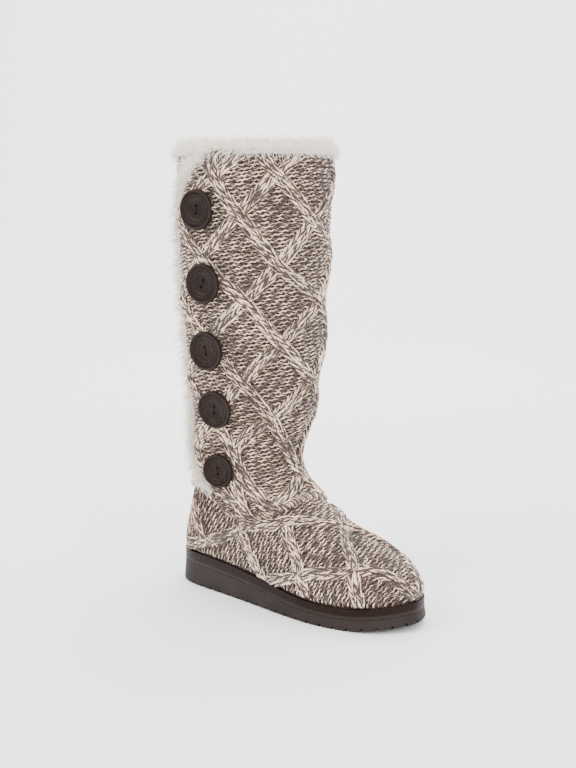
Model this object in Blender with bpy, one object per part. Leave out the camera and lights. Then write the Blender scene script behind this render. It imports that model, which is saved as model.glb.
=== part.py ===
"""A knee-high knitted boot for the right foot: two-part rubber sole, lined upper, pile trim and buttons.

Metres, +Z up, +X to the toe, +Y to the inner (medial) side of the foot. The origin is on the ground,
under the middle of the heel.
"""
import math

import bmesh
import bpy
import numpy as np
from mathutils import Matrix, Vector
from mathutils.bvhtree import BVHTree

# Sole
LENGTH = 0.269
BALL_WIDTH = 0.095
HEEL_WIDTH = 0.068
HEEL_CENTRE = 0.038
HEEL_TREAD = 0.0205
FORE_TREAD = 0.0095
HEEL_RAND = 0.0110
FORE_RAND = 0.0096
TOE_SPRING = 0.006
SIDE_FLARE = 0.0012
TREAD_BEVEL = 0.0015
LUG_PITCH = 0.01308
GROOVE_WIDTH = 0.0023
GROOVE_HEIGHT = 0.0028
EDGE_RIB = 0.005
CHEVRON = 0.007
RIM_WIDTH = 0.0026
SLAB_THICKNESS = 0.005

# Upper and insole
WALL = 0.0045
ANKLE_HEIGHT = 0.142
ANKLE_DEPTH = 0.1045
ANKLE_WIDTH = 0.085
COLLAR_HEIGHT = 0.402
COLLAR_DEPTH = 0.1415
COLLAR_WIDTH = 0.123
INSOLE_THICKNESS = 0.005
INSOLE_ROUND = 0.0012

# Knit overlays: the hem and flap are steps in the wall, the cables are raised strips
HEM_STEP = 0.0025
HEM_RELIEF = 0.4
FLAP_STEP = 0.0042
FLAP_FADE = 6
PLAIN_COLUMNS = 3
CABLE_HEIGHT = 0.003
CABLE_HALF_WIDTH = 0.009
GROUND_SINK = 0.0012
DIAMOND_HALF_RISE = 0.0361
FIRST_CROSSING_DROP = 0.020
CELLS_PER_HALF_DIAMOND = 4

# Trim and buttons
PILE_WIDTH = 0.0110
PILE_HEIGHT = 0.0112
PILE_LOCK = 0.0013
PILE_SIDES = 6
COLLAR_TUFTS = 66
PLACKET_TUFTS = 58
PLACKET_FIRST_RING = 6.6
PLACKET_PILE_WIDTH = 0.0105
PLACKET_PILE_HEIGHT = 0.0085
PLACKET_PILE_INSET = 0.0024
PLACKET_PILE_LIFT = 0.0005
BUTTON_DIAMETER = 0.0355
BUTTON_THICKNESS = 0.0044
BUTTON_RIM = 0.0042
BUTTON_DISH = 0.0012
BUTTON_EDGE = 0.0012
BUTTON_SIDES = 18
BUTTON_HOLE_SIDES = 8
RIM_RAYS = 72
BUTTON_HOLE = 0.0027
BUTTON_HOLE_SPACING = 0.0062

# Clearance between touching pieces
GAP = 0.0003

# Counts round the boot and along it
SHAFT_COLUMNS = 40
FOOT_COLUMNS = 2 * SHAFT_COLUMNS
INNER_COLUMNS = 36
FOOT_ROWS = 12
INNER_ROWS = 17
HEM_ROWS = 3
SIDE_STEP = 0.001


def table(columns, rows):
    """Named columns of a short table, as arrays."""
    return {name: np.array([row[i] for row in rows], float) for i, name in enumerate(columns)}


# Half width of the outsole: each row scales the half circle over the length
OUTLINE = table(("share", "lateral", "medial", "heel_part"), (
    (0.00, 0.971, 0.971, 1.0),
    (0.06, 0.853, 0.853, 1.0),
    (0.15, 0.706, 0.706, 1.0),
    (0.30, 0.612, 0.559, 1.0),
    (0.45, 0.529, 0.466, 0.5),
    (0.60, 0.516, 0.474, 0.0),
    (0.72, 0.579, 0.547, 0.0),
    (0.82, 0.621, 0.615, 0.0),
    (0.90, 0.663, 0.685, 0.0),
    (0.96, 0.653, 0.715, 0.0),
    (1.00, 0.547, 0.630, 0.0),
))

# Fall of the sole from the heel's thickness to the forefoot's, and lift of its underside at the toe
SOLE_FALL = table(("share", "fall", "lift"), (
    (0.00, 0.00, 0.00),
    (0.20, 0.07, 0.00),
    (0.45, 0.42, 0.00),
    (0.68, 0.96, 0.00),
    (0.80, 1.00, 0.00),
    (0.90, 1.00, 0.32),
    (1.00, 1.00, 1.00),
))

# Rings of the foot, from the sole up to the ankle. back and front are shares of the length, back_rise and
# front_rise of the height from the rand to the ankle, sole_form blends from the ankle's oval (0) to the
# sole's outline (1), outline_width and oval_width are shares of the sole's and the ankle's width.
FOOT = table(("back", "front", "back_rise", "front_rise", "sole_form", "outline_width", "oval_width"), (
    (0.0060, 0.992, 0.030, 0.030, 1.00, 0.985, 1.00),
    (0.0040, 0.992, 0.090, 0.096, 1.00, 1.000, 1.00),
    (0.0094, 0.948, 0.200, 0.200, 0.95, 0.970, 1.06),
    (0.0190, 0.872, 0.327, 0.296, 0.80, 0.900, 1.03),
    (0.0320, 0.768, 0.464, 0.391, 0.60, 0.840, 0.99),
    (0.0470, 0.651, 0.600, 0.487, 0.38, 0.820, 0.97),
    (0.0640, 0.552, 0.736, 0.609, 0.18, 0.830, 0.97),
    (0.0770, 0.482, 0.864, 0.783, 0.05, 0.860, 0.98),
))

# Rings of the leg, from the ankle up to the collar. height is a share of the way from the ankle to the
# collar, centre a share of the length, depth and width shares of the way from the ankle's to the collar's.
LEG = table(("height", "centre", "depth", "width"), (
    (0.000, 0.278, 0.00, 0.00),
    (0.127, 0.304, 0.33, 0.23),
    (0.338, 0.311, 0.60, 0.62),
    (0.608, 0.3085, 0.82, 0.88),
    (0.838, 0.310, 1.00, 1.00),
    (1.000, 0.308, 1.00, 1.00),
))

# Hem of the shaft over the foot piece: ring number by share of a turn from the heel's back
HEM = table(("turn", "ring"), (
    (0.00, 6.00),
    (0.12, 5.85),
    (0.20, 5.35),
    (0.24, 5.05),
    (0.31, 5.85),
    (0.36, 6.30),
    (0.44, 6.83),
    (0.50, 7.00),
    (0.56, 6.83),
    (0.64, 6.30),
    (0.69, 5.85),
    (0.76, 5.05),
    (0.80, 5.35),
    (0.88, 5.85),
    (1.00, 6.00),
))

# Free edge of the placket flap: share of a turn by ring number, with its two rounded corners
FLAP_EDGE = table(("ring", "turn"), (
    (4.00, 0.200),
    (5.60, 0.212),
    (6.60, 0.214),
    (7.25, 0.206),
    (8.10, 0.189),
    (8.70, 0.167),
    (9.20, 0.156),
    (10.00, 0.150),
    (11.00, 0.149),
    (12.40, 0.158),
    (12.85, 0.172),
    (13.20, 0.193),
    (13.50, 0.217),
    (13.72, 0.239),
    (13.85, 0.256),
    (13.95, 0.274),
    (14.00, 0.288),
))
FLAP_TURN = 0.115
FLAP_REACH = 0.6
FLAP_EASE = 1.3

# Raised cables of the foot on the outer side, as share of a turn and ring; the inner side mirrors them
FOOT_CABLES = (
    ((0.08, 1.2), (0.16, 2.76), (0.20, 3.64), (0.25, 4.78), (0.32, 5.5), (0.37, 5.92), (0.44, 5.95),
     (0.50, 5.66)),
    ((0.25, 0.4), (0.28, 2.04), (0.33, 3.09), (0.38, 3.36), (0.42, 3.48), (0.45, 3.05), (0.475, 2.3),
     (0.50, 1.2)),
    ((0.10, 5.0), (0.12, 3.6), (0.14, 2.5)),
    ((0.235, 5.0), (0.225, 4.2), (0.225, 3.4), (0.235, 2.2), (0.25, 0.5)),
    ((0.36, 5.76), (0.33, 4.84), (0.32, 3.77), (0.31, 2.6), (0.315, 1.2)),
    ((0.50, 5.66), (0.44, 4.78), (0.41, 3.70), (0.39, 2.5), (0.39, 0.8)),
)

# Buttons on the flap, top to bottom: height of their ring as a share of the collar's, and share of a turn
BUTTONS = table(("height", "turn"), (
    (0.877, 0.2420),
    (0.718, 0.2465),
    (0.571, 0.2435),
    (0.440, 0.2540),
    (0.3125, 0.2655),
))


def smooth(xs, ys, x):
    """Cubic through a table's points. ys may be one column, or for each x its own stack of points."""
    xs = np.asarray(xs, float)
    ys = np.asarray(ys, float)
    x = np.clip(np.asarray(x, float), xs[0], xs[-1])
    step = np.diff(xs).reshape((-1,) + (1,) * (ys.ndim - 1))
    slope = np.diff(ys, axis=0) / step
    tangent = np.empty_like(ys)
    tangent[0] = slope[0]
    tangent[-1] = slope[-1]
    tangent[1:-1] = (step[1:] * slope[:-1] + step[:-1] * slope[1:]) / (step[1:] + step[:-1])
    low = np.clip(np.searchsorted(xs, x, side="right") - 1, 0, len(xs) - 2)
    width = np.diff(xs)[low]
    t = (x - xs[low]) / width
    here, after = low, low + 1
    if ys.ndim > 1:
        each = np.arange(len(x))
        here, after = (low, each), (low + 1, each)
        t = t[:, None]
        width = width[:, None]
    rise = t * t * (3 - 2 * t)
    start = t * (1 - t) ** 2 * width
    end = t * t * (t - 1) * width
    return (1 - rise) * ys[here] + rise * ys[after] + start * tangent[here] + end * tangent[after]


def share_at(turn):
    """Share of the sole's length at a share of a turn: 0 at the heel's back, 0.5 at the toe's tip."""
    return 0.5 - 0.5 * np.cos(2 * np.pi * np.asarray(turn, float))


def side_at(turn):
    """-1 on the outer (lateral) side, +1 on the inner side."""
    return np.where(np.mod(turn, 1.0) < 0.5, -1.0, 1.0)


def half_width(turn):
    """Half width of the outsole, measured from its long axis."""
    share = share_at(turn)
    heel = smooth(OUTLINE["share"], OUTLINE["heel_part"], share)
    size = heel * HEEL_WIDTH + (1 - heel) * BALL_WIDTH
    lateral = smooth(OUTLINE["share"], OUTLINE["lateral"], share)
    medial = smooth(OUTLINE["share"], OUTLINE["medial"], share)
    form = np.where(side_at(turn) < 0, lateral, medial)
    return np.abs(np.sin(2 * np.pi * np.asarray(turn, float))) * form * size


def outline(turn, inset=0.0):
    """Points of the outsole's outline, moved in by inset; x from the heel's back, y from the long axis."""
    turn = np.asarray(turn, float)

    def plain(value):
        return np.stack([share_at(value) * LENGTH, side_at(value) * half_width(value)], -1)

    along = plain(turn + SIDE_STEP) - plain(turn - SIDE_STEP)
    along /= np.linalg.norm(along, axis=-1, keepdims=True)
    outward = np.stack([along[..., 1], -along[..., 0]], -1)
    return plain(turn) - outward * inset


def sole_lift(x):
    lift = smooth(SOLE_FALL["share"], SOLE_FALL["lift"], np.asarray(x) / LENGTH)
    return TOE_SPRING * np.maximum(lift, 0.0)


def tread_top(x):
    fall = smooth(SOLE_FALL["share"], SOLE_FALL["fall"], np.asarray(x) / LENGTH)
    return HEEL_TREAD + (FORE_TREAD - HEEL_TREAD) * fall + sole_lift(x)


def rand_top(x):
    fall = smooth(SOLE_FALL["share"], SOLE_FALL["fall"], np.asarray(x) / LENGTH)
    return tread_top(x) + HEEL_RAND + (FORE_RAND - HEEL_RAND) * fall


def slab_top(x):
    return tread_top(x) + GAP + SLAB_THICKNESS


UPPER_INSET = SIDE_FLARE + RIM_WIDTH + GAP
FIRST_LEG_RING = len(FOOT["back"]) + 1
LAST_RING = FIRST_LEG_RING + len(LEG["height"]) - 1
ANKLE_RISE = ANKLE_HEIGHT - HEEL_TREAD - HEEL_RAND
RINGS = np.arange(LAST_RING + 1)


def ring_points(turn):
    """Every ring of the upper at these turns: array of rings x turns x 3."""
    turn = np.asarray(turn, float)
    share = share_at(turn)
    side = side_at(turn)
    base = outline(turn, UPPER_INSET)
    rings = [np.column_stack([base, rand_top(base[:, 0]) + GAP])]
    oval = np.abs(np.sin(2 * np.pi * turn))
    rand = rand_top(share * LENGTH)
    for i in range(len(FOOT["back"])):
        row = {name: values[i] for name, values in FOOT.items()}
        x = LENGTH * (row["back"] + (row["front"] - row["back"]) * share)
        narrow = oval * ANKLE_WIDTH / 2 * row["oval_width"]
        wide = half_width(turn) * row["outline_width"]
        y = side * (narrow + (wide - narrow) * row["sole_form"])
        rise = ANKLE_RISE * row["back_rise"]
        front_drop = rand_top(LENGTH) - rand_top(0.0)
        front_rise = (ANKLE_RISE - front_drop) * row["front_rise"]
        over_sole = rand + rise + (front_rise - rise) * share
        straight = rand_top(0.0) + rise + (front_drop + front_rise - rise) * share
        z = straight + (over_sole - straight) * row["sole_form"]
        rings.append(np.column_stack([x, y, z]))
    for height, centre, depth, width in zip(*(LEG[name] for name in ("height", "centre", "depth", "width"))):
        half_depth = (ANKLE_DEPTH + (COLLAR_DEPTH - ANKLE_DEPTH) * depth) / 2
        half = (ANKLE_WIDTH + (COLLAR_WIDTH - ANKLE_WIDTH) * width) / 2
        x = centre * LENGTH - half_depth * np.cos(2 * np.pi * turn)
        y = side * oval * half
        z = np.full_like(x, ANKLE_HEIGHT + (COLLAR_HEIGHT - ANKLE_HEIGHT) * height)
        rings.append(np.column_stack([x, y, z]))
    return np.array(rings)


def skin(turn, ring):
    """Points of the upper's mean outer face at paired turns and ring numbers."""
    return smooth(RINGS, ring_points(turn), ring)


def skin_normal(turn, ring):
    """Outward unit normals of the skin."""
    ring = np.asarray(ring, float)
    step = 0.05
    round_it = skin(turn + SIDE_STEP, ring) - skin(turn - SIDE_STEP, ring)
    up = skin(turn, np.minimum(ring + step, LAST_RING)) - skin(turn, np.maximum(ring - step, 0.0))
    normal = np.cross(round_it, up)
    return normal / np.linalg.norm(normal, axis=1, keepdims=True)


def raised(turn, ring, height):
    """Skin points moved out along their normals."""
    return skin(turn, ring) + skin_normal(turn, ring) * np.reshape(height, (-1, 1))


def height_of_ring(ring):
    """Height of the back of a ring above the ground."""
    back = ring_points(np.array([0.0]))[:, 0, 2]
    return smooth(RINGS, back, ring)


def ring_at_height(height):
    fine = np.linspace(0, LAST_RING, 400)
    return np.interp(height, height_of_ring(fine), fine)


def flap_edge(ring):
    return smooth(FLAP_EDGE["ring"], FLAP_EDGE["turn"], ring)


def column_turn(column, ring):
    """Turn of a column of the knit: the columns crowd forward where the flap's edge does."""
    column = np.asarray(column, float)
    half_way = SHAFT_COLUMNS / 2
    away = np.clip(np.minimum(column, SHAFT_COLUMNS - column) / half_way / FLAP_REACH, 0, 1)
    pull = (1 - away) ** FLAP_EASE
    return FLAP_TURN + column / SHAFT_COLUMNS + (flap_edge(ring) - FLAP_TURN) * pull


def hem_ring(turn):
    return smooth(HEM["turn"], HEM["ring"], np.mod(turn, 1.0))


def leg_relief(column, ring):
    """Height of the raised diamonds: straight cables that cross at every half diamond."""
    across = column / CELLS_PER_HALF_DIAMOND + 1
    down = (COLLAR_HEIGHT - FIRST_CROSSING_DROP - height_of_ring(ring)) / DIAMOND_HALF_RISE
    cell = 1 / CELLS_PER_HALF_DIAMOND
    falling = np.abs(np.mod(across - down + 1, 2) - 1)
    rising = np.abs(np.mod(across + down + 1, 2) - 1)
    near = np.minimum(falling, rising) / cell
    return CABLE_HEIGHT * np.clip(1 - near, 0, 1)


def cable_points():
    """Close points along every raised cable of the foot, on both sides."""
    found = []
    for path in FOOT_CABLES:
        turns, rings = np.array(path).T
        fine = np.linspace(0, len(path) - 1, 40)
        turn = smooth(np.arange(len(path)), turns, fine)
        ring = smooth(np.arange(len(path)), rings, fine)
        found.append(skin(turn, ring))
        found.append(skin(1 - turn, ring))
    return np.concatenate(found)


def foot_relief(points, cables):
    away = np.array([np.linalg.norm(cables - point, axis=1).min() for point in points])
    ridge = np.clip(1 - (away / CABLE_HALF_WIDTH) ** 2, 0, 1)
    return CABLE_HEIGHT * ridge ** 1.5


class Body:
    """Points and faces of one solid."""

    def __init__(self):
        self.points = []
        self.faces = []

    def add(self, points):
        first = len(self.points)
        self.points.extend([tuple(map(float, point)) for point in points])
        return list(range(first, len(self.points)))

    def face(self, *corners):
        ring = [c for i, c in enumerate(corners) if c != corners[i - 1]]
        if len(set(ring)) > 2:
            self.faces.append(ring)

    def band(self, low, high, closed=True):
        """Quads between two loops of equal length."""
        count = len(low)
        for i in range(count if closed else count - 1):
            j = (i + 1) % count
            self.face(low[i], low[j], high[j], high[i])

    def zip_by_turn(self, low, low_turn, high, high_turn):
        """Triangles between two closed loops of any length, matched by their turns."""
        first = int(np.argmin(np.abs(np.mod(high_turn - low_turn[0] + 0.5, 1.0) - 0.5)))
        high = list(high[first:]) + list(high[:first])
        start = high_turn[first] + np.round(low_turn[0] - high_turn[first])
        high_turn = start + np.mod(np.roll(high_turn, -first) - high_turn[first], 1.0)
        low_turn = list(low_turn) + [low_turn[0] + 1]
        high_turn = list(high_turn) + [high_turn[0] + 1]
        i = j = 0
        while i < len(low) or j < len(high):
            a, b = low[i % len(low)], high[j % len(high)]
            if j == len(high) or (i < len(low) and low_turn[i + 1] <= high_turn[j + 1]):
                self.face(a, low[(i + 1) % len(low)], b)
                i += 1
            else:
                self.face(a, high[(j + 1) % len(high)], b)
                j += 1

    def build(self, name, material, smooth_angle=None):
        shift = np.array([HEEL_CENTRE, 0.0, 0.0])
        mesh = bpy.data.meshes.new(name)
        mesh.from_pydata([tuple(np.array(p) - shift) for p in self.points], [], self.faces)
        bm = bmesh.new()
        bm.from_mesh(mesh)
        bmesh.ops.recalc_face_normals(bm, faces=bm.faces)
        bm.to_mesh(mesh)
        bm.free()
        mesh.materials.append(material)
        piece = bpy.data.objects.new(name, mesh)
        bpy.context.scene.collection.objects.link(piece)
        if smooth_angle is not None:
            mesh.shade_smooth()
            mesh.set_sharp_from_angle(angle=math.radians(smooth_angle))
        return piece


def finish(name, colour, roughness, metallic=0.0):
    material = bpy.data.materials.new(name)
    material.use_nodes = True
    shader = material.node_tree.nodes["Principled BSDF"]
    shader.inputs["Base Color"].default_value = (*colour, 1.0)
    shader.inputs["Roughness"].default_value = roughness
    shader.inputs["Metallic"].default_value = metallic
    return material


def half_arc():
    """Turns along one side from heel to toe, with the mean arc length of both sides at each."""
    turn = np.linspace(0.0, 0.5, 801)
    lateral = outline(turn)
    medial = outline(1 - turn)
    steps = [np.linalg.norm(np.diff(side, axis=0), axis=1) for side in (lateral, medial)]
    return turn, np.concatenate([[0.0], np.cumsum((steps[0] + steps[1]) / 2)])


def lug_stations():
    """Turns of the groove edges and lug middles on one side, and whether a groove starts there."""
    turn, arc = half_arc()
    count = int((arc[-1] - LUG_PITCH / 2) / LUG_PITCH)
    places = [0.0]
    grooves = [False]
    for i in range(count, 0, -1):
        centre = arc[-1] - i * LUG_PITCH
        places += [centre - GROOVE_WIDTH / 2, centre + GROOVE_WIDTH / 2, centre + LUG_PITCH / 2]
        grooves += [True, False, False]
    places.append(arc[-1] - GROOVE_WIDTH / 2)
    grooves.append(True)
    return np.interp(places, arc, turn), grooves


def even_turns(count):
    return np.arange(count) / count


def cap_loops(body, *loops):
    """Close level loops of evenly turned points with cross bars from side to side."""
    for loop in loops:
        count = len(loop)
        for i in range(count // 2):
            body.face(loop[i], loop[i + 1], loop[(count - i - 1) % count], loop[(count - i) % count])


def make_outsole(material):
    body = Body()
    side, starts = lug_stations()
    turns = np.concatenate([side, 1 - side[1:][::-1]])
    count = len(turns)
    last = len(side) - 1

    def loop(inset, height):
        flat = outline(turns, inset)
        return body.add(np.column_stack([flat, height(flat[:, 0])]))

    top = loop(SIDE_FLARE, tread_top)
    mid = loop(0.0, lambda x: sole_lift(x) + GROOVE_HEIGHT)
    low = loop(0.0, lambda x: sole_lift(x) + TREAD_BEVEL)
    sole = loop(TREAD_BEVEL, sole_lift)
    rib = loop(EDGE_RIB, sole_lift)
    rib_high = loop(EDGE_RIB, lambda x: sole_lift(x) + GROOVE_HEIGHT)

    def mirror(i):
        return (count - i) % count

    def groove_after(i):
        """Whether the stretch from station i to the next, round the loop, is a groove."""
        if i <= last:
            return starts[i]
        return starts[count - i - 1]

    for i in range(count):
        j = (i + 1) % count
        body.face(mid[i], mid[j], top[j], top[i])
        if groove_after(i):
            body.face(rib_high[i], rib_high[j], mid[j], mid[i])
            body.face(mid[i], low[i], sole[i], rib[i], rib_high[i])
            body.face(rib_high[j], rib[j], sole[j], low[j], mid[j])
        else:
            body.face(low[i], low[j], mid[j], mid[i])
            body.face(sole[i], sole[j], low[j], low[i])
            body.face(rib[i], rib[j], sole[j], sole[i])

    # The middle of each lug and groove leans forward, so the bars are chevrons
    widest = BALL_WIDTH / 2

    def middle(i, height):
        left = np.array(body.points[rib[i]])
        right = np.array(body.points[rib[mirror(i)]])
        centre = (left + right) / 2
        centre[0] += CHEVRON * min(1.0, abs(right[1] - left[1]) / 2 / widest) ** 2
        centre[2] = float(sole_lift(centre[0])) + height
        return body.add([centre])[0]

    bars = [middle(i, 0.0) for i in range(1, last + 1)]
    bars.insert(0, rib[0])
    high = {}
    for i in range(1, last):
        if starts[i]:
            high[i] = middle(i, GROOVE_HEIGHT)
            high[i + 1] = middle(i + 1, GROOVE_HEIGHT)
    for i in range(last):
        j = i + 1
        a, b = mirror(i), mirror(j)
        if starts[i]:
            body.face(rib_high[i], high[i], high[j], rib_high[j])
            body.face(high[i], rib_high[a], rib_high[b], high[j])
            for k, m in ((i, a), (j, b)):
                body.face(rib[k], bars[k], high[k], rib_high[k])
                body.face(bars[k], rib[m], rib_high[m], high[k])
        else:
            body.face(rib[i], bars[i], bars[j], rib[j])
            body.face(bars[i], rib[a], rib[b], bars[j])
        body.face(top[i], top[a], top[b], top[j])
    body.face(rib[last], bars[last], rib[mirror(last)], rib_high[mirror(last)], rib_high[last])
    return body.build("outsole", material, 30)


def make_midsole(material):
    """The darker rand: a cup whose rim stands round the foot of the upper."""
    body = Body()
    turns = even_turns(FOOT_COLUMNS)

    def loop(inset, height):
        flat = outline(turns, inset)
        return body.add(np.column_stack([flat, height(flat[:, 0])]))

    bottom = loop(SIDE_FLARE, lambda x: tread_top(x) + GAP)
    rim_outer = loop(SIDE_FLARE, rand_top)
    rim_inner = loop(SIDE_FLARE + RIM_WIDTH, rand_top)
    slab = loop(SIDE_FLARE + RIM_WIDTH, slab_top)
    body.band(bottom, rim_outer)
    body.band(rim_outer, rim_inner)
    body.band(rim_inner, slab)
    cap_loops(body, slab, bottom)
    return body.build("midsole", material, 30)


def make_insole(material):
    """The footbed, inside the upper's wall and on the slab."""
    body = Body()
    turns = even_turns(INNER_COLUMNS)
    inset = UPPER_INSET + WALL + GAP

    def loop(extra, height):
        flat = outline(turns, inset + extra)
        return body.add(np.column_stack([flat, slab_top(flat[:, 0]) + GAP + height]))

    bottom = loop(0.0, 0.0)
    edge = loop(0.0, INSOLE_THICKNESS - INSOLE_ROUND)
    top = loop(INSOLE_ROUND, INSOLE_THICKNESS)
    body.band(bottom, edge)
    body.band(edge, top)
    cap_loops(body, top, bottom)
    return body.build("insole", material, 40)


def shaft_rows():
    """Ring numbers of the shaft's rows, collar first, and the reach of the last rows to the hem."""
    step = DIAMOND_HALF_RISE / CELLS_PER_HALF_DIAMOND
    first = COLLAR_HEIGHT - FIRST_CROSSING_DROP + step
    lowest = ring_at_height(ANKLE_HEIGHT - 2.4 * step)
    count = int((first - height_of_ring(lowest)) / step)
    return [float(LAST_RING)] + [float(ring_at_height(first - i * step)) for i in range(count + 1)]


def flap_height(column):
    """Outward step of the flap: full at its free edge, gone after a few columns."""
    fade = np.clip(np.asarray(column, float) / FLAP_FADE, 0, 1)
    return FLAP_STEP * (1 - fade * fade * (3 - 2 * fade))


def make_upper(material):
    body = Body()
    columns = np.arange(SHAFT_COLUMNS + 1)
    lift = -GROUND_SINK + HEM_STEP

    # Shaft rows: column 0 is the flap's free edge, and the last column is the back panel beside it
    rows = []
    reliefs = []
    fixed = shaft_rows()
    for index in range(len(fixed) + HEM_ROWS):
        if index < len(fixed):
            ring = np.full(len(columns), fixed[index])
        else:
            part = (index - len(fixed) + 1) / HEM_ROWS
            hem = hem_ring(column_turn(columns, fixed[-1]))
            ring = fixed[-1] + (hem - fixed[-1]) * part
        turn = column_turn(columns, ring)
        ring = np.minimum(ring, LAST_RING)
        if index == len(fixed) + HEM_ROWS - 1:
            ring = hem_ring(turn)
        relief = leg_relief(columns, ring)
        relief[-PLAIN_COLUMNS:] = 0.0
        if index >= len(fixed):
            relief *= 1 + (HEM_RELIEF - 1) * part
        rows.append(body.add(raised(turn, ring, lift + relief + flap_height(columns))))
        reliefs.append(relief)
        if index == 0:
            collar_turn = turn
        hem_turn = turn
    for above, below, over, under in zip(rows[:-1], rows[1:], reliefs[:-1], reliefs[1:]):
        for j in range(SHAFT_COLUMNS):
            a, b, c, d = above[j], above[j + 1], below[j + 1], below[j]
            if over[j] + under[j + 1] > over[j + 1] + under[j]:
                body.face(a, b, c)
                body.face(a, c, d)
            else:
                body.face(a, b, d)
                body.face(b, c, d)
        body.face(above[-1], above[0], below[0], below[-1])

    # Foot rows, twice as many columns, from just under the hem down to the rim
    cables = cable_points()
    seam_turn = np.empty(FOOT_COLUMNS)
    seam_turn[0::2] = hem_turn[:-1]
    seam_turn[1::2] = (hem_turn[:-1] + hem_turn[1:]) / 2
    foot = []
    for index in range(FOOT_ROWS + 1):
        part = index / FOOT_ROWS
        even = np.round(seam_turn[0] * FOOT_COLUMNS) / FOOT_COLUMNS + even_turns(FOOT_COLUMNS)
        turn = seam_turn + (even - seam_turn) * part
        top_ring = hem_ring(turn)
        ring = top_ring * (1 - part)
        points = skin(turn, ring)
        relief = foot_relief(points, cables) * np.clip(ring, 0, 1)
        sink = GROUND_SINK * np.clip(ring, 0, 1)
        foot.append(body.add(raised(turn, ring, relief - sink)))
    even_turn = turn
    seam = foot[0]
    hem = rows[-1]
    for j in range(SHAFT_COLUMNS):
        a, b, c = seam[2 * j], seam[2 * j + 1], seam[(2 * j + 2) % FOOT_COLUMNS]
        body.face(hem[j], hem[j + 1], c, b, a)
    body.face(hem[-1], hem[0], seam[0])
    for above, below in zip(foot[:-1], foot[1:]):
        body.band(below, above)

    # Foot of the wall, down inside the rim
    flat = outline(even_turn, UPPER_INSET)
    ground = body.add(np.column_stack([flat, slab_top(flat[:, 0]) + GAP]))
    body.band(ground, foot[-1])

    # Lining side, fewer columns, from the same skin moved in by the wall
    inner_turn = even_turns(INNER_COLUMNS)
    inner = []
    flat = outline(inner_turn, UPPER_INSET + WALL)
    inner.append(body.add(np.column_stack([flat, slab_top(flat[:, 0]) + GAP])))
    inner.append(body.add(np.column_stack([flat, rand_top(flat[:, 0]) + GAP])))
    for index in range(1, INNER_ROWS):
        ring = np.full(INNER_COLUMNS, 1.0 + (LAST_RING - 1.0) * index / (INNER_ROWS - 1))
        depth = WALL + GROUND_SINK
        points = raised(inner_turn, ring, -depth)
        if index == INNER_ROWS - 1:
            points[:, 2] = COLLAR_HEIGHT
        inner.append(body.add(points))
    for below, above in zip(inner[:-1], inner[1:]):
        body.band(below, above)
    body.zip_by_turn(ground, even_turn, inner[0], inner_turn)
    for i in rows[0]:
        x, y, z = body.points[i]
        body.points[i] = (x, y, COLLAR_HEIGHT)
    body.zip_by_turn(rows[0], collar_turn, inner[-1], inner_turn)
    return body.build("upper", material, 50)


def locks(count, around):
    """Tufts of the pile: uneven bumps along the strip and round it."""
    along = np.arange(count)[:, None]
    ring = np.arange(around)[None, :]
    uneven = np.mod(np.sin(along * 12.9898 + ring * 78.233) * 437.585, 1.0)
    sway = np.sin(along * 1.7 + ring * 2.3)
    return PILE_LOCK * (1.8 * uneven - 0.9 + 0.35 * sway)


def make_collar_pile(material):
    """Closed ring of pile on the collar's top face."""
    body = Body()
    count = COLLAR_TUFTS
    around = PILE_SIDES
    turn = np.arange(count) / count
    ring = np.full(count, float(LAST_RING))
    middle = raised(turn, ring, HEM_STEP - GROUND_SINK - (WALL + HEM_STEP) / 2)
    outward = skin_normal(turn, ring)
    outward[:, 2] = 0
    outward /= np.linalg.norm(outward, axis=1, keepdims=True)
    bumps = locks(count, around)
    loops = []
    seat = COLLAR_HEIGHT + GAP
    for i in range(count):
        section = []
        for k in range(around):
            angle = math.pi * k / (around - 1)
            reach = PILE_WIDTH / 2 + bumps[i, k]
            tall = PILE_HEIGHT * math.sin(angle) + (bumps[i, k] if 0 < k < around - 1 else 0.0)
            point = middle[i] + outward[i] * reach * math.cos(angle)
            point[2] = seat + tall
            section.append(point)
        loops.append(body.add(section))
    for i in range(count):
        a, b = loops[i], loops[(i + 1) % count]
        for k in range(around):
            m = (k + 1) % around
            body.face(a[k], a[m], b[m], b[k])
    return body.build("fur_collar", material, 60)


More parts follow.
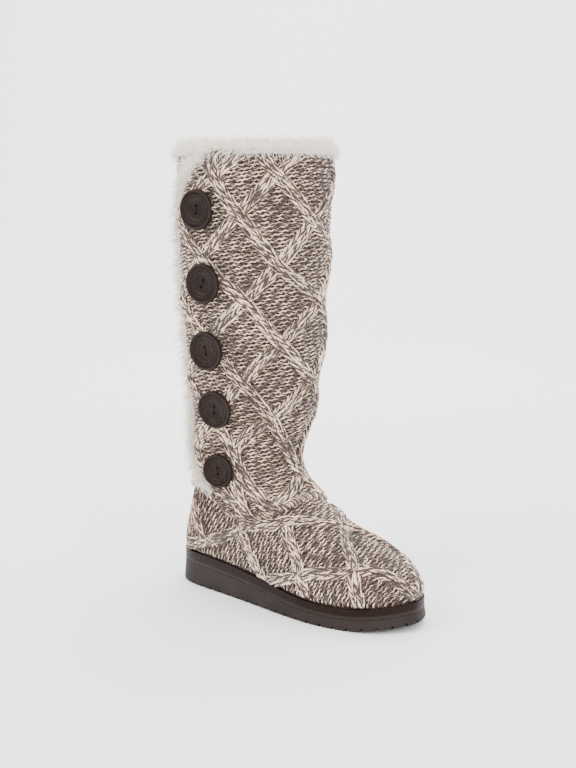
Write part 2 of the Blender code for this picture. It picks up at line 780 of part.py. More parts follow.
def make_placket_pile(material):
    """Strip of pile beside the flap's free edge, on the back panel, from the lower corner to the collar."""
    body = Body()
    count = PLACKET_TUFTS
    around = PILE_SIDES
    top = LAST_RING - 0.16
    ring = np.linspace(PLACKET_FIRST_RING, top, count)
    edge = flap_edge(ring)
    bumps = locks(count, around)
    base = PLACKET_PILE_LIFT + HEM_STEP - GROUND_SINK
    points = skin(edge, ring)
    along = np.gradient(points, axis=0)
    along /= np.linalg.norm(along, axis=1, keepdims=True)
    normal = skin_normal(edge, ring)
    beside = np.cross(normal, along)
    beside /= np.linalg.norm(beside, axis=1, keepdims=True)
    beside *= np.sign((beside * (skin(edge - 0.01, ring) - points)).sum(1))[:, None]
    loops = []
    for i in range(count):
        taper = min(1.0, 0.35 + 0.65 * i / 6)
        section = []
        for k in range(around):
            angle = math.pi * k / (around - 1)
            tuft = bumps[i, k] if 0 < k < around - 1 else 0.0
            across = PLACKET_PILE_INSET + PLACKET_PILE_WIDTH * taper * (1 - math.cos(angle)) / 2
            tall = (PLACKET_PILE_HEIGHT + tuft) * taper * math.sin(angle)
            place = points[i] + beside[i] * across
            section.append((place, tall))
        loops.append(section)
    # Each point is dropped onto the back panel, then stands off it by its own height
    places = np.array([place for section in loops for place, _ in section])
    heights = np.array([tall for section in loops for _, tall in section])
    turns, levels = nearest_on_skin(places, np.repeat(edge, around), np.repeat(ring, around))
    spots = raised(turns, levels, base + heights)
    spots[:, 2] = np.minimum(spots[:, 2], COLLAR_HEIGHT - GAP)
    solid = [body.add(spots[i * around:(i + 1) * around]) for i in range(count)]
    for a, b in zip(solid[:-1], solid[1:]):
        for k in range(around):
            m = (k + 1) % around
            body.face(a[k], a[m], b[m], b[k])
    body.face(*solid[0])
    body.face(*solid[-1][::-1])
    return body.build("fur_placket", material, 60)


def nearest_on_skin(places, turn, ring):
    """Turns and rings of the skin's points nearest to places that are close to known ones."""
    for _ in range(3):
        here = skin(turn, ring)
        du = (skin(turn + SIDE_STEP, ring) - here) / SIDE_STEP
        dv = (skin(turn, ring - SIDE_STEP) - here) / -SIDE_STEP
        miss = places - here
        uu = (du * du).sum(1)
        uv = (du * dv).sum(1)
        vv = (dv * dv).sum(1)
        along_u = (du * miss).sum(1)
        along_v = (dv * miss).sum(1)
        det = uu * vv - uv * uv
        turn = turn + (along_u * vv - along_v * uv) / det
        ring = np.minimum(ring + (along_v * uu - along_u * uv) / det, LAST_RING)
    return turn, ring


def seat_height(upper, middle, out, beside, upward):
    """How far the flap's highest point under a button stands out from middle."""
    points = np.array([vertex.co for vertex in upper.data.vertices]) - middle
    heights = points @ out
    away = np.linalg.norm(points - heights[:, None] * out, axis=1)
    under = (away < BUTTON_DIAMETER / 2) & (np.abs(heights) < COLLAR_WIDTH / 4)
    found = [heights[under].max()]
    tree = BVHTree.FromPolygons([v.co for v in upper.data.vertices], [p.vertices for p in upper.data.polygons])
    start = middle + out * COLLAR_WIDTH / 4
    for angle in np.arange(RIM_RAYS) * 2 * math.pi / RIM_RAYS:
        rim = (beside * math.cos(angle) + upward * math.sin(angle)) * BUTTON_DIAMETER / 2
        hit = tree.ray_cast(Vector(start + rim), Vector(-out))[0]
        found.append((np.array(hit) - middle) @ out)
    return max(found)


def make_button(name, height, turn, upper, material):
    """Two-hole button, laid on the flap: a turned disc with a raised rim, and its holes cut through."""
    ring = float(ring_at_height(height))
    centre = np.array([turn]), np.array([ring])
    out = skin_normal(*centre)[0]
    middle = skin(*centre)[0]
    beside = np.cross((0.0, 0.0, 1.0), out)
    beside /= np.linalg.norm(beside)
    upward = np.cross(out, beside)
    radius = BUTTON_DIAMETER / 2
    middle = middle - np.array([HEEL_CENTRE, 0.0, 0.0])
    rise = seat_height(upper, middle, out, beside, upward) + GAP
    profile = (
        (0.0, 0.0),
        (radius - BUTTON_EDGE, 0.0),
        (radius, BUTTON_THICKNESS * 0.45),
        (radius - BUTTON_EDGE, BUTTON_THICKNESS),
        (radius - BUTTON_RIM, BUTTON_THICKNESS),
        (radius - BUTTON_RIM - BUTTON_EDGE, BUTTON_THICKNESS - BUTTON_DISH),
        (0.0, BUTTON_THICKNESS - BUTTON_DISH * 1.4),
    )
    bm = bmesh.new()
    points = [bm.verts.new((r, 0.0, z)) for r, z in profile]
    edges = [bm.edges.new(pair) for pair in zip(points[:-1], points[1:])]
    bmesh.ops.spin(bm, geom=points + edges, cent=(0, 0, 0), axis=(0, 0, 1), angle=2 * math.pi,
                   steps=BUTTON_SIDES, use_merge=True, use_duplicate=False)
    bmesh.ops.remove_doubles(bm, verts=bm.verts, dist=1e-6)
    bmesh.ops.recalc_face_normals(bm, faces=bm.faces)
    mesh = bpy.data.meshes.new(name)
    bm.to_mesh(mesh)
    bm.free()
    mesh.materials.append(material)
    piece = bpy.data.objects.new(name, mesh)
    bpy.context.scene.collection.objects.link(piece)
    place = middle + out * rise
    matrix = np.eye(4)
    matrix[:3, 0] = beside
    matrix[:3, 1] = upward
    matrix[:3, 2] = out
    matrix[:3, 3] = place
    piece.matrix_world = Matrix(matrix.tolist())
    cutter = hole_cutter(name + "_holes")
    cutter.matrix_world = piece.matrix_world
    cut = piece.modifiers.new("holes", "BOOLEAN")
    cut.operation = "DIFFERENCE"
    cut.object = cutter
    cut.solver = "EXACT"
    mesh.shade_smooth()
    mesh.set_sharp_from_angle(angle=math.radians(35))
    return piece


def hole_cutter(name):
    """Two pins through the button, one above the other, as one cutter."""
    bm = bmesh.new()
    for side in (-1, 1):
        made = bmesh.ops.create_cone(bm, cap_ends=True, segments=BUTTON_HOLE_SIDES, radius1=BUTTON_HOLE / 2,
                                     radius2=BUTTON_HOLE / 2, depth=BUTTON_THICKNESS * 3)
        bmesh.ops.translate(bm, verts=made["verts"], vec=(0.0, side * BUTTON_HOLE_SPACING / 2, 0.0))
    mesh = bpy.data.meshes.new(name)
    bm.to_mesh(mesh)
    bm.free()
    cutter = bpy.data.objects.new(name, mesh)
    bpy.context.scene.collection.objects.link(cutter)
    cutter.hide_render = True
    cutter.display_type = "WIRE"
    return cutter


def main():
    for old in list(bpy.data.objects):
        bpy.data.objects.remove(old, do_unlink=True)
    tread = finish("sole_rubber", (0.115, 0.100, 0.094), 0.62)
    rand = finish("rand_rubber", (0.046, 0.032, 0.030), 0.48)
    knit = finish("marl_knit", (0.40, 0.33, 0.28), 0.95)
    fleece = finish("fleece", (0.86, 0.80, 0.74), 1.0)
    pile = finish("pile", (0.88, 0.82, 0.77), 1.0)
    horn = finish("button_horn", (0.045, 0.036, 0.034), 0.42)
    make_outsole(tread)
    make_midsole(rand)
    make_insole(fleece)
    upper = make_upper(knit)
    make_collar_pile(pile)
    make_placket_pile(pile)
    for number, (share, turn) in enumerate(zip(BUTTONS["height"], BUTTONS["turn"]), 1):
        make_button(f"button_{number}", COLLAR_HEIGHT * share, turn, upper, horn)


main()
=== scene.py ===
"""Looks of a knee-high cable-knit boot for the right foot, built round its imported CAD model.

Metres, +Z up, +X to the toe, +Y to the inner side of the foot. The knit is real yarn: wavy ground rows and
raised cables of V stitches, laid on the same skin that the CAD upper was made from.
"""
import math

import bmesh
import bpy
import numpy as np
from mathutils import Matrix, Vector
from mathutils.kdtree import KDTree


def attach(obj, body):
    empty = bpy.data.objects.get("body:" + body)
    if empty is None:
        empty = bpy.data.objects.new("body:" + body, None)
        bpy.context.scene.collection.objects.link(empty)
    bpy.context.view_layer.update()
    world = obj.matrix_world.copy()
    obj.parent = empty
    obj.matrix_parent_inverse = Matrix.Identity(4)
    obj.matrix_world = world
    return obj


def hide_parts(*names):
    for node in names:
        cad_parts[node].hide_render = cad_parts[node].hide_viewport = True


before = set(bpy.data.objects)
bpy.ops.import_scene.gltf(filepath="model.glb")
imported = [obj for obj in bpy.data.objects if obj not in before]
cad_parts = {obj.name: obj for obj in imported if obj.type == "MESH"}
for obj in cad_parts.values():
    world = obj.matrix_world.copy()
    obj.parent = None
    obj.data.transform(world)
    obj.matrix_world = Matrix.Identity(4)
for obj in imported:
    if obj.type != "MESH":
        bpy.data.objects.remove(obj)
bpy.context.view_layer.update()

# Sizes shared with the CAD source
LENGTH = 0.269
BALL_WIDTH = 0.095
HEEL_WIDTH = 0.068
HEEL_CENTRE = 0.038
HEEL_TREAD = 0.0205
FORE_TREAD = 0.0095
HEEL_RAND = 0.0110
FORE_RAND = 0.0096
TOE_SPRING = 0.006
SIDE_FLARE = 0.0012
RIM_WIDTH = 0.0026
SLAB_THICKNESS = 0.005
WALL = 0.0045
ANKLE_HEIGHT = 0.142
ANKLE_DEPTH = 0.1045
ANKLE_WIDTH = 0.085
COLLAR_HEIGHT = 0.402
COLLAR_DEPTH = 0.1415
COLLAR_WIDTH = 0.123
INSOLE_THICKNESS = 0.005
HEM_STEP = 0.0025
FLAP_STEP = 0.0042
FLAP_FADE = 6
GROUND_SINK = 0.0012
DIAMOND_HALF_RISE = 0.0361
FIRST_CROSSING_DROP = 0.020
CELLS_PER_HALF_DIAMOND = 4
PILE_WIDTH = 0.0110
PILE_HEIGHT = 0.0112
PLACKET_FIRST_RING = 6.6
PLACKET_PILE_WIDTH = 0.0105
PLACKET_PILE_HEIGHT = 0.0085
PLACKET_PILE_INSET = 0.0024
BUTTON_DIAMETER = 0.0355
BUTTON_THICKNESS = 0.0044
BUTTON_HOLE = 0.0027
BUTTON_HOLE_SPACING = 0.0062
GAP = 0.0003
SHAFT_COLUMNS = 40
SIDE_STEP = 0.001
FLAP_TURN = 0.115
FLAP_REACH = 0.6
FLAP_EASE = 1.3

# Ground yarn
YARN_RADIUS = 0.00112
YARN_SIDES = 5
STITCH_WIDTH = 0.0048
ROW_PITCH = 0.0033
POINTS_PER_STITCH = 6
ROW_WAVE = 0.00050
ROW_BUMP = 0.00042
ROW_ROUGHNESS = 0.00008
ROW_WANDER = 0.00024
PHASE_JITTER = 0.5
PHASE_DRIFT = 0.55
DRIFT_PITCH = 0.012
SWELL = 0.16
SWELL_PACE = 310
SHORTEST_RUN = 4
RUN_END_THICKNESS = 0.55
GROUND_LEVEL = -0.0010
CABLE_CLEAR = 0.0050
UPPER_LOT_DEPTH = 0.118
FLAP_MARGIN = 0.0006
SHAFT_HEM_MARGIN = 0.03
FOOT_HEM_MARGIN = 0.02
SOLE_TUCK = 0.0006
TUCK_RINGS = 0.7
RIM_REACH = 0.0024
RIM_FADE = 0.004
RAND_FOOT = 0.0034
PLY_PITCH = 0.0120
PLY_PAIRS = 2.0

# Yarns rolled over the hem and over the flap's edge
HEM_WRAP = 0.0062
HEM_WRAP_PITCH = 0.0034
FLAP_WRAP_PITCH = 0.0033
WRAP_POINTS = 6

# Cables
CABLE_COLUMNS = 2
CABLE_COLUMN_WIDTH = 0.0054
CABLE_STITCH = 0.0046
CABLE_LEG = 0.0094
CABLE_LEG_POINTS = 5
CABLE_LEG_JITTER = 0.0004
CABLE_LEG_WANDER = 0.00018
CABLE_TWIST = 0.60
CABLE_YARN = 1.14
CABLE_RISE = 0.0019
CABLE_RIDGE = 0.0068
CABLE_LAST_RING = 0.22
DIAMOND_HALF_WIDTH = 0.043
CROSSING_SPACING = np.hypot(DIAMOND_HALF_RISE, DIAMOND_HALF_WIDTH)
CROSSING_RISE = 0.0010
CROSSING_REACH = 0.012
CROSSING_GAP = 0.0050
LOWEST_CABLE_RING = 5.0
ROUTE_STEP = 0.012
SHORTEST_ROUTE = 12

# Foot rows: where along the turn each change starts, and how long it takes
FOOT_ROW_PITCH = 0.0033
FOOT_ROW_LEAN = 0.72
TOE_ROW_LEAN = 1.25
HEEL_CHANGE = (0.07, 0.12)
LEAN_CHANGE = (0.02, 0.20)
TOE_CHANGE = (0.38, 0.10)
TOE_LEAN_HEIGHT = 0.030
HEEL_MEETING = 0.13
OVER_INSTEP = 0.47
SHORTEST_FOOT_ROW = 12
FEWEST_ROW_POINTS = 10
RIM_RINGS = 0.9

# Wall: depths under the skin
BACKING_OUTSIDE = 0.0019
BACKING_FOOT = 0.0022
BACKING_INSIDE = 0.0030
LINING_OUTSIDE = 0.0036
LINING_INSIDE = 0.0058
LINING_COLUMNS = 120
LINING_ROUGHNESS = 0.00045

# Pile
CORE_POINTS = 12
CORE_FILL = 0.72
SKIRT_OUT = 0.0012
CLUMP_SPACING = 90
COLLAR_PILE = {"width": PILE_WIDTH, "height": PILE_HEIGHT, "hairs": 9000, "skirt": 0.36, "fluff": 1.0,
               "seed": 61}
PLACKET_PILE = {"width": PLACKET_PILE_WIDTH, "height": PLACKET_PILE_HEIGHT, "hairs": 6000, "skirt": 0.0,
                "fluff": 1.4, "seed": 62}
HAIR_RADIUS = 0.00020
HAIR_SIDES = 3

# Buttons
BUTTON_SWING = 9.0
BUTTON_LIFT = 0.0007
HOLE_ANGLES = (-4.0, -24.0, 6.0, -8.0, 4.0)
BUTTON_SHARES = (1.0, 1.0, 1.0, 0.98, 0.88)
THREAD_RADIUS = 0.00034
THREAD_SIDES = 6
THREAD_SHIFT = 0.00035


def table(columns, rows):
    """Named columns of a short table, as arrays in the order of the names."""
    return {name: np.array([row[i] for row in rows], float) for i, name in enumerate(columns)}


OUTLINE = table(("share", "lateral", "medial", "heel_part"), (
    (0.00, 0.971, 0.971, 1.0),
    (0.06, 0.853, 0.853, 1.0),
    (0.15, 0.706, 0.706, 1.0),
    (0.30, 0.612, 0.559, 1.0),
    (0.45, 0.529, 0.466, 0.5),
    (0.60, 0.516, 0.474, 0.0),
    (0.72, 0.579, 0.547, 0.0),
    (0.82, 0.621, 0.615, 0.0),
    (0.90, 0.663, 0.685, 0.0),
    (0.96, 0.653, 0.715, 0.0),
    (1.00, 0.547, 0.630, 0.0),
))
SOLE_FALL = table(("share", "fall", "lift"), (
    (0.00, 0.00, 0.00),
    (0.20, 0.07, 0.00),
    (0.45, 0.42, 0.00),
    (0.68, 0.96, 0.00),
    (0.80, 1.00, 0.00),
    (0.90, 1.00, 0.32),
    (1.00, 1.00, 1.00),
))
FOOT = table(("back", "front", "back_rise", "front_rise", "sole_form", "outline_width", "oval_width"), (
    (0.0060, 0.992, 0.030, 0.030, 1.00, 0.985, 1.00),
    (0.0040, 0.992, 0.090, 0.096, 1.00, 1.000, 1.00),
    (0.0094, 0.948, 0.200, 0.200, 0.95, 0.970, 1.06),
    (0.0190, 0.872, 0.327, 0.296, 0.80, 0.900, 1.03),
    (0.0320, 0.768, 0.464, 0.391, 0.60, 0.840, 0.99),
    (0.0470, 0.651, 0.600, 0.487, 0.38, 0.820, 0.97),
    (0.0640, 0.552, 0.736, 0.609, 0.18, 0.830, 0.97),
    (0.0770, 0.482, 0.864, 0.783, 0.05, 0.860, 0.98),
))
LEG = table(("height", "centre", "depth", "width"), (
    (0.000, 0.278, 0.00, 0.00),
    (0.127, 0.304, 0.33, 0.23),
    (0.338, 0.311, 0.60, 0.62),
    (0.608, 0.3085, 0.82, 0.88),
    (0.838, 0.310, 1.00, 1.00),
    (1.000, 0.308, 1.00, 1.00),
))
HEM = table(("turn", "ring"), (
    (0.00, 6.00),
    (0.12, 5.85),
    (0.20, 5.35),
    (0.24, 5.05),
    (0.31, 5.85),
    (0.36, 6.30),
    (0.44, 6.83),
    (0.50, 7.00),
    (0.56, 6.83),
    (0.64, 6.30),
    (0.69, 5.85),
    (0.76, 5.05),
    (0.80, 5.35),
    (0.88, 5.85),
    (1.00, 6.00),
))
FLAP_EDGE = table(("ring", "turn"), (
    (4.00, 0.200),
    (5.60, 0.212),
    (6.60, 0.214),
    (7.25, 0.206),
    (8.10, 0.189),
    (8.70, 0.167),
    (9.20, 0.156),
    (10.00, 0.150),
    (11.00, 0.149),
    (12.40, 0.158),
    (12.85, 0.172),
    (13.20, 0.193),
    (13.50, 0.217),
    (13.72, 0.239),
    (13.85, 0.256),
    (13.95, 0.274),
    (14.00, 0.288),
))
FOOT_CABLES = (
    ((0.08, 1.2), (0.16, 2.76), (0.20, 3.64), (0.25, 4.78), (0.32, 5.5), (0.37, 5.92), (0.44, 5.95),
     (0.50, 5.66)),
    ((0.25, 0.4), (0.28, 2.04), (0.33, 3.09), (0.38, 3.36), (0.42, 3.48), (0.45, 3.05), (0.475, 2.1),
     (0.50, 0.8)),
    ((0.10, 5.0), (0.12, 3.6), (0.14, 2.5)),
    ((0.235, 5.0), (0.225, 4.2), (0.225, 3.4), (0.235, 2.2), (0.25, 0.5)),
    ((0.36, 5.76), (0.33, 4.84), (0.32, 3.77), (0.31, 2.6), (0.315, 1.2)),
    ((0.50, 5.66), (0.44, 4.78), (0.41, 3.70), (0.39, 2.5), (0.39, 0.8)),
)
BUTTONS = table(("height", "turn"), (
    (0.877, 0.2420),
    (0.718, 0.2465),
    (0.571, 0.2435),
    (0.440, 0.2540),
    (0.3125, 0.2655),
))
CROSSINGS = table(("across", "down", "turn", "ring"), (
    (4, 0, 0.399, 13.52),
    (4, 2, 0.408, 12.06),
    (4, 4, 0.413, 11.11),
    (4, 6, 0.399, 9.85),
    (4, 8, 0.349, 6.55),
    (3, 1, 0.326, 12.79),
    (3, 3, 0.335, 11.62),
    (3, 5, 0.320, 10.52),
    (3, 7, 0.313, 8.59),
    (5, 1, 0.487, 12.69),
    (5, 3, 0.524, 11.61),
    (5, 5, 0.511, 10.54),
    (5, 7, 0.521, 7.91),
))


# The skin of the upper, as in the CAD source

def smooth(xs, ys, x):
    """Cubic through a table's points: one row of ys for each x."""
    xs = np.asarray(xs, float)
    ys = np.asarray(ys, float)
    x = np.clip(np.asarray(x, float), xs[0], xs[-1])
    step = np.diff(xs).reshape((-1,) + (1,) * (ys.ndim - 1))
    slope = np.diff(ys, axis=0) / step
    tangent = np.empty_like(ys)
    tangent[0] = slope[0]
    tangent[-1] = slope[-1]
    tangent[1:-1] = (step[1:] * slope[:-1] + step[:-1] * slope[1:]) / (step[1:] + step[:-1])
    low = np.clip(np.searchsorted(xs, x, side="right") - 1, 0, len(xs) - 2)
    shape = x.shape + (1,) * (ys.ndim - 1)
    width = np.diff(xs)[low].reshape(shape)
    t = (x - xs[low]).reshape(shape) / width
    rise = t * t * (3 - 2 * t)
    start = t * (1 - t) ** 2 * width
    end = t * t * (t - 1) * width
    return (1 - rise) * ys[low] + rise * ys[low + 1] + start * tangent[low] + end * tangent[low + 1]


def ease(value):
    """0 below 0, 1 above 1, and a soft S between."""
    value = np.clip(value, 0.0, 1.0)
    return value * value * (3 - 2 * value)


def share_at(turn):
    """Share of the sole's length at a share of a turn: 0 at the heel's back, 0.5 at the toe's tip."""
    return 0.5 - 0.5 * np.cos(2 * np.pi * np.asarray(turn, float))


def side_at(turn):
    """-1 on the outer (lateral) side, +1 on the inner side."""
    return np.where(np.mod(turn, 1.0) < 0.5, -1.0, 1.0)


def half_width(turn):
    """Half width of the outsole, measured from its long axis."""
    share = share_at(turn)
    heel = smooth(OUTLINE["share"], OUTLINE["heel_part"], share)
    size = heel * HEEL_WIDTH + (1 - heel) * BALL_WIDTH
    lateral = smooth(OUTLINE["share"], OUTLINE["lateral"], share)
    medial = smooth(OUTLINE["share"], OUTLINE["medial"], share)
    form = np.where(side_at(turn) < 0, lateral, medial)
    return np.abs(np.sin(2 * np.pi * np.asarray(turn, float))) * form * size


def outline(turn, inset=0.0):
    """Points of the outsole's outline, moved in by inset; x from the heel's back, y from the long axis."""
    turn = np.asarray(turn, float)

    def plain(value):
        return np.stack([share_at(value) * LENGTH, side_at(value) * half_width(value)], -1)

    along = plain(turn + SIDE_STEP) - plain(turn - SIDE_STEP)
    along /= np.linalg.norm(along, axis=-1, keepdims=True)
    outward = np.stack([along[..., 1], -along[..., 0]], -1)
    return plain(turn) - outward * inset


def sole_lift(x):
    """Toe spring under a place along the sole."""
    lift = smooth(SOLE_FALL["share"], SOLE_FALL["lift"], np.asarray(x) / LENGTH)
    return TOE_SPRING * np.maximum(lift, 0.0)


def tread_top(x):
    """Height of the outsole's upper face."""
    fall = smooth(SOLE_FALL["share"], SOLE_FALL["fall"], np.asarray(x) / LENGTH)
    return HEEL_TREAD + (FORE_TREAD - HEEL_TREAD) * fall + sole_lift(x)


def rand_top(x):
    """Height of the rand's upper edge."""
    fall = smooth(SOLE_FALL["share"], SOLE_FALL["fall"], np.asarray(x) / LENGTH)
    return tread_top(x) + HEEL_RAND + (FORE_RAND - HEEL_RAND) * fall


def slab_top(x):
    """Height of the slab inside the rand, on which the insole lies."""
    return tread_top(x) + GAP + SLAB_THICKNESS


UPPER_INSET = SIDE_FLARE + RIM_WIDTH + GAP
FIRST_LEG_RING = len(FOOT["back"]) + 1
LAST_RING = FIRST_LEG_RING + len(LEG["height"]) - 1
ANKLE_RISE = ANKLE_HEIGHT - HEEL_TREAD - HEEL_RAND
RINGS = np.arange(LAST_RING + 1)


def ring_points(turn):
    """Every ring of the upper at these turns: array of rings x turns x 3, x from the heel's back."""
    share = share_at(turn)
    side = side_at(turn)
    base = outline(turn, UPPER_INSET)
    rings = [np.column_stack([base, rand_top(base[:, 0]) + GAP])]
    oval = np.abs(np.sin(2 * np.pi * turn))
    rand = rand_top(share * LENGTH)
    for i in range(len(FOOT["back"])):
        row = {name: values[i] for name, values in FOOT.items()}
        x = LENGTH * (row["back"] + (row["front"] - row["back"]) * share)
        narrow = oval * ANKLE_WIDTH / 2 * row["oval_width"]
        wide = half_width(turn) * row["outline_width"]
        y = side * (narrow + (wide - narrow) * row["sole_form"])
        rise = ANKLE_RISE * row["back_rise"]
        front_drop = rand_top(LENGTH) - rand_top(0.0)
        front_rise = (ANKLE_RISE - front_drop) * row["front_rise"]
        over_sole = rand + rise + (front_rise - rise) * share
        straight = rand_top(0.0) + rise + (front_drop + front_rise - rise) * share
        z = straight + (over_sole - straight) * row["sole_form"]
        rings.append(np.column_stack([x, y, z]))
    for height, centre, depth, width in zip(*LEG.values()):
        half_depth = (ANKLE_DEPTH + (COLLAR_DEPTH - ANKLE_DEPTH) * depth) / 2
        half = (ANKLE_WIDTH + (COLLAR_WIDTH - ANKLE_WIDTH) * width) / 2
        x = centre * LENGTH - half_depth * np.cos(2 * np.pi * turn)
        y = side * oval * half
        z = np.full_like(x, ANKLE_HEIGHT + (COLLAR_HEIGHT - ANKLE_HEIGHT) * height)
        rings.append(np.column_stack([x, y, z]))
    return np.array(rings)


def unit(vectors):
    """The vectors at length 1."""
    return vectors / np.maximum(np.linalg.norm(vectors, axis=-1, keepdims=True), 1e-12)


def lengths_along(points):
    """Length along a line at each of its points."""
    return np.concatenate([[0.0], np.cumsum(np.linalg.norm(np.diff(points, axis=0), axis=1))])


TURN_CELLS = 1440
RING_CELLS = 700
grid_rings = np.linspace(0, LAST_RING, RING_CELLS + 1)
grid_points = smooth(RINGS, ring_points(np.arange(TURN_CELLS) / TURN_CELLS), grid_rings)
grid_points[..., 0] -= HEEL_CENTRE
grid_points = np.concatenate([grid_points, grid_points[:, :1]], axis=1)
grid_round = np.roll(grid_points[:, :-1], -1, axis=1) - np.roll(grid_points[:, :-1], 1, axis=1)
grid_round = np.concatenate([grid_round, grid_round[:, :1]], axis=1) * TURN_CELLS / 2
grid_up = np.gradient(grid_points, axis=0) * RING_CELLS / LAST_RING
grid_normal = unit(np.cross(grid_round, grid_up))
back_heights = grid_points[:, 0, 2]


def look_up(grid, turn, ring):
    """Values of a grid over the skin at paired turns and rings."""
    x = np.mod(turn, 1.0) * TURN_CELLS
    y = np.clip(ring, 0, LAST_RING) / LAST_RING * RING_CELLS
    i = np.minimum(x.astype(int), TURN_CELLS - 1)
    j = np.minimum(y.astype(int), RING_CELLS - 1)
    right = (x - i)[..., None]
    above = (y - j)[..., None]
    low = grid[j, i] * (1 - right) + grid[j, i + 1] * right
    high = grid[j + 1, i] * (1 - right) + grid[j + 1, i + 1] * right
    return low * (1 - above) + high * above


def skin(turn, ring):
    """Points of the upper's outer face."""
    return look_up(grid_points, turn, ring)


def place(turn, ring, height=0.0, up=0.0):
    """Points that stand off the skin by height, moved over it by up, in metres."""
    turn, ring, height, up = np.broadcast_arrays(turn, ring, height, up)
    point = skin(turn, ring) + look_up(grid_normal, turn, ring) * height[..., None]
    return point + unit(look_up(grid_up, turn, ring)) * up[..., None]


def height_of_ring(ring):
    """Height of the back of a ring above the ground."""
    return np.interp(ring, grid_rings, back_heights)


def ring_at_height(height):
    """Ring whose back is at a height above the ground."""
    return np.interp(height, back_heights, grid_rings)


def flap_edge(ring):
    """Turn of the flap's free edge."""
    return smooth(FLAP_EDGE["ring"], FLAP_EDGE["turn"], ring)


def column_pull(column):
    """How far a column follows the flap's edge: 1 at the edge, 0 on the far side."""
    away = np.clip(np.minimum(column, SHAFT_COLUMNS - column) / (SHAFT_COLUMNS / 2) / FLAP_REACH, 0, 1)
    return (1 - away) ** FLAP_EASE


def column_turn(column, ring):
    """Turn of a column of the knit: the columns crowd forward where the flap's edge does."""
    column = np.asarray(column, float)
    return FLAP_TURN + column / SHAFT_COLUMNS + (flap_edge(ring) - FLAP_TURN) * column_pull(column)


def column_at(turn, ring):
    """Column of the knit at a turn counted on from the flap's edge."""
    shift = flap_edge(ring) - FLAP_TURN
    column = (turn - FLAP_TURN) * SHAFT_COLUMNS
    for _ in range(24):
        column = (turn - FLAP_TURN - shift * column_pull(np.clip(column, 0, SHAFT_COLUMNS))) * SHAFT_COLUMNS
    return np.clip(column, 0, SHAFT_COLUMNS)


def hem_ring(turn):
    """Ring of the shaft's hem."""
    return smooth(HEM["turn"], HEM["ring"], np.mod(turn, 1.0))


def flap_height(column):
    """Outward step of the flap: full at its free edge, gone after a few columns."""
    return FLAP_STEP * (1 - ease(np.asarray(column, float) / FLAP_FADE))


def shaft_lift(turn, ring):
    """Height of the shaft's ground off the skin."""
    return HEM_STEP - GROUND_SINK + flap_height(column_at(turn, ring))


def foot_lift(turn, ring):
    """Height of the foot's ground off the skin, sunk a little behind the rand."""
    tucked = SOLE_TUCK * (1 - ease(np.asarray(ring) / TUCK_RINGS))
    return -GROUND_SINK * np.clip(ring, 0, 1) - tucked + 0 * turn


# Meshes

def new_object(name, data):
    """An object of its own for a mesh, a light or a camera."""
    made = bpy.data.objects.new(name, data)
    bpy.context.scene.collection.objects.link(made)
    return made


def as_piece(name, mesh, material, replaced=()):
    """A finished mesh as a piece of the boot."""
    mesh.materials.clear()
    mesh.materials.append(material)
    piece = new_object(name, mesh)
    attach(piece, "root")
    if replaced:
        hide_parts(*replaced)
    return piece


class Solid:
    """Points and faces of one closed mesh."""

    def __init__(self):
        self.points = []
        self.faces = []
        self.count = 0

    def add(self, points):
        """Put points in and give back their numbers."""
        points = np.asarray(points, float).reshape(-1, 3)
        self.points.append(points)
        self.count += len(points)
        return np.arange(self.count - len(points), self.count)

    def band(self, low, high, closed=True):
        """Quads between two loops of equal length."""
        low_next, high_next = np.roll(low, -1), np.roll(high, -1)
        quads = np.stack([low, low_next, high_next, high], -1)
        self.faces.extend((quads if closed else quads[:-1]).tolist())

    def cap(self, loop):
        """One face over a loop."""
        self.faces.append([int(i) for i in loop])

    def mesh(self, name, smooth_angle=None):
        """The mesh with its faces turned outwards, smooth but for edges past the angle."""
        made = bpy.data.meshes.new(name)
        made.from_pydata(np.concatenate(self.points).tolist(), [], self.faces)
        bm = bmesh.new()
        bm.from_mesh(made)
        bmesh.ops.recalc_face_normals(bm, faces=bm.faces)
        bm.to_mesh(made)
        bm.free()
        made.shade_smooth()
        if smooth_angle:
            made.set_sharp_from_angle(angle=math.radians(smooth_angle))
        return made


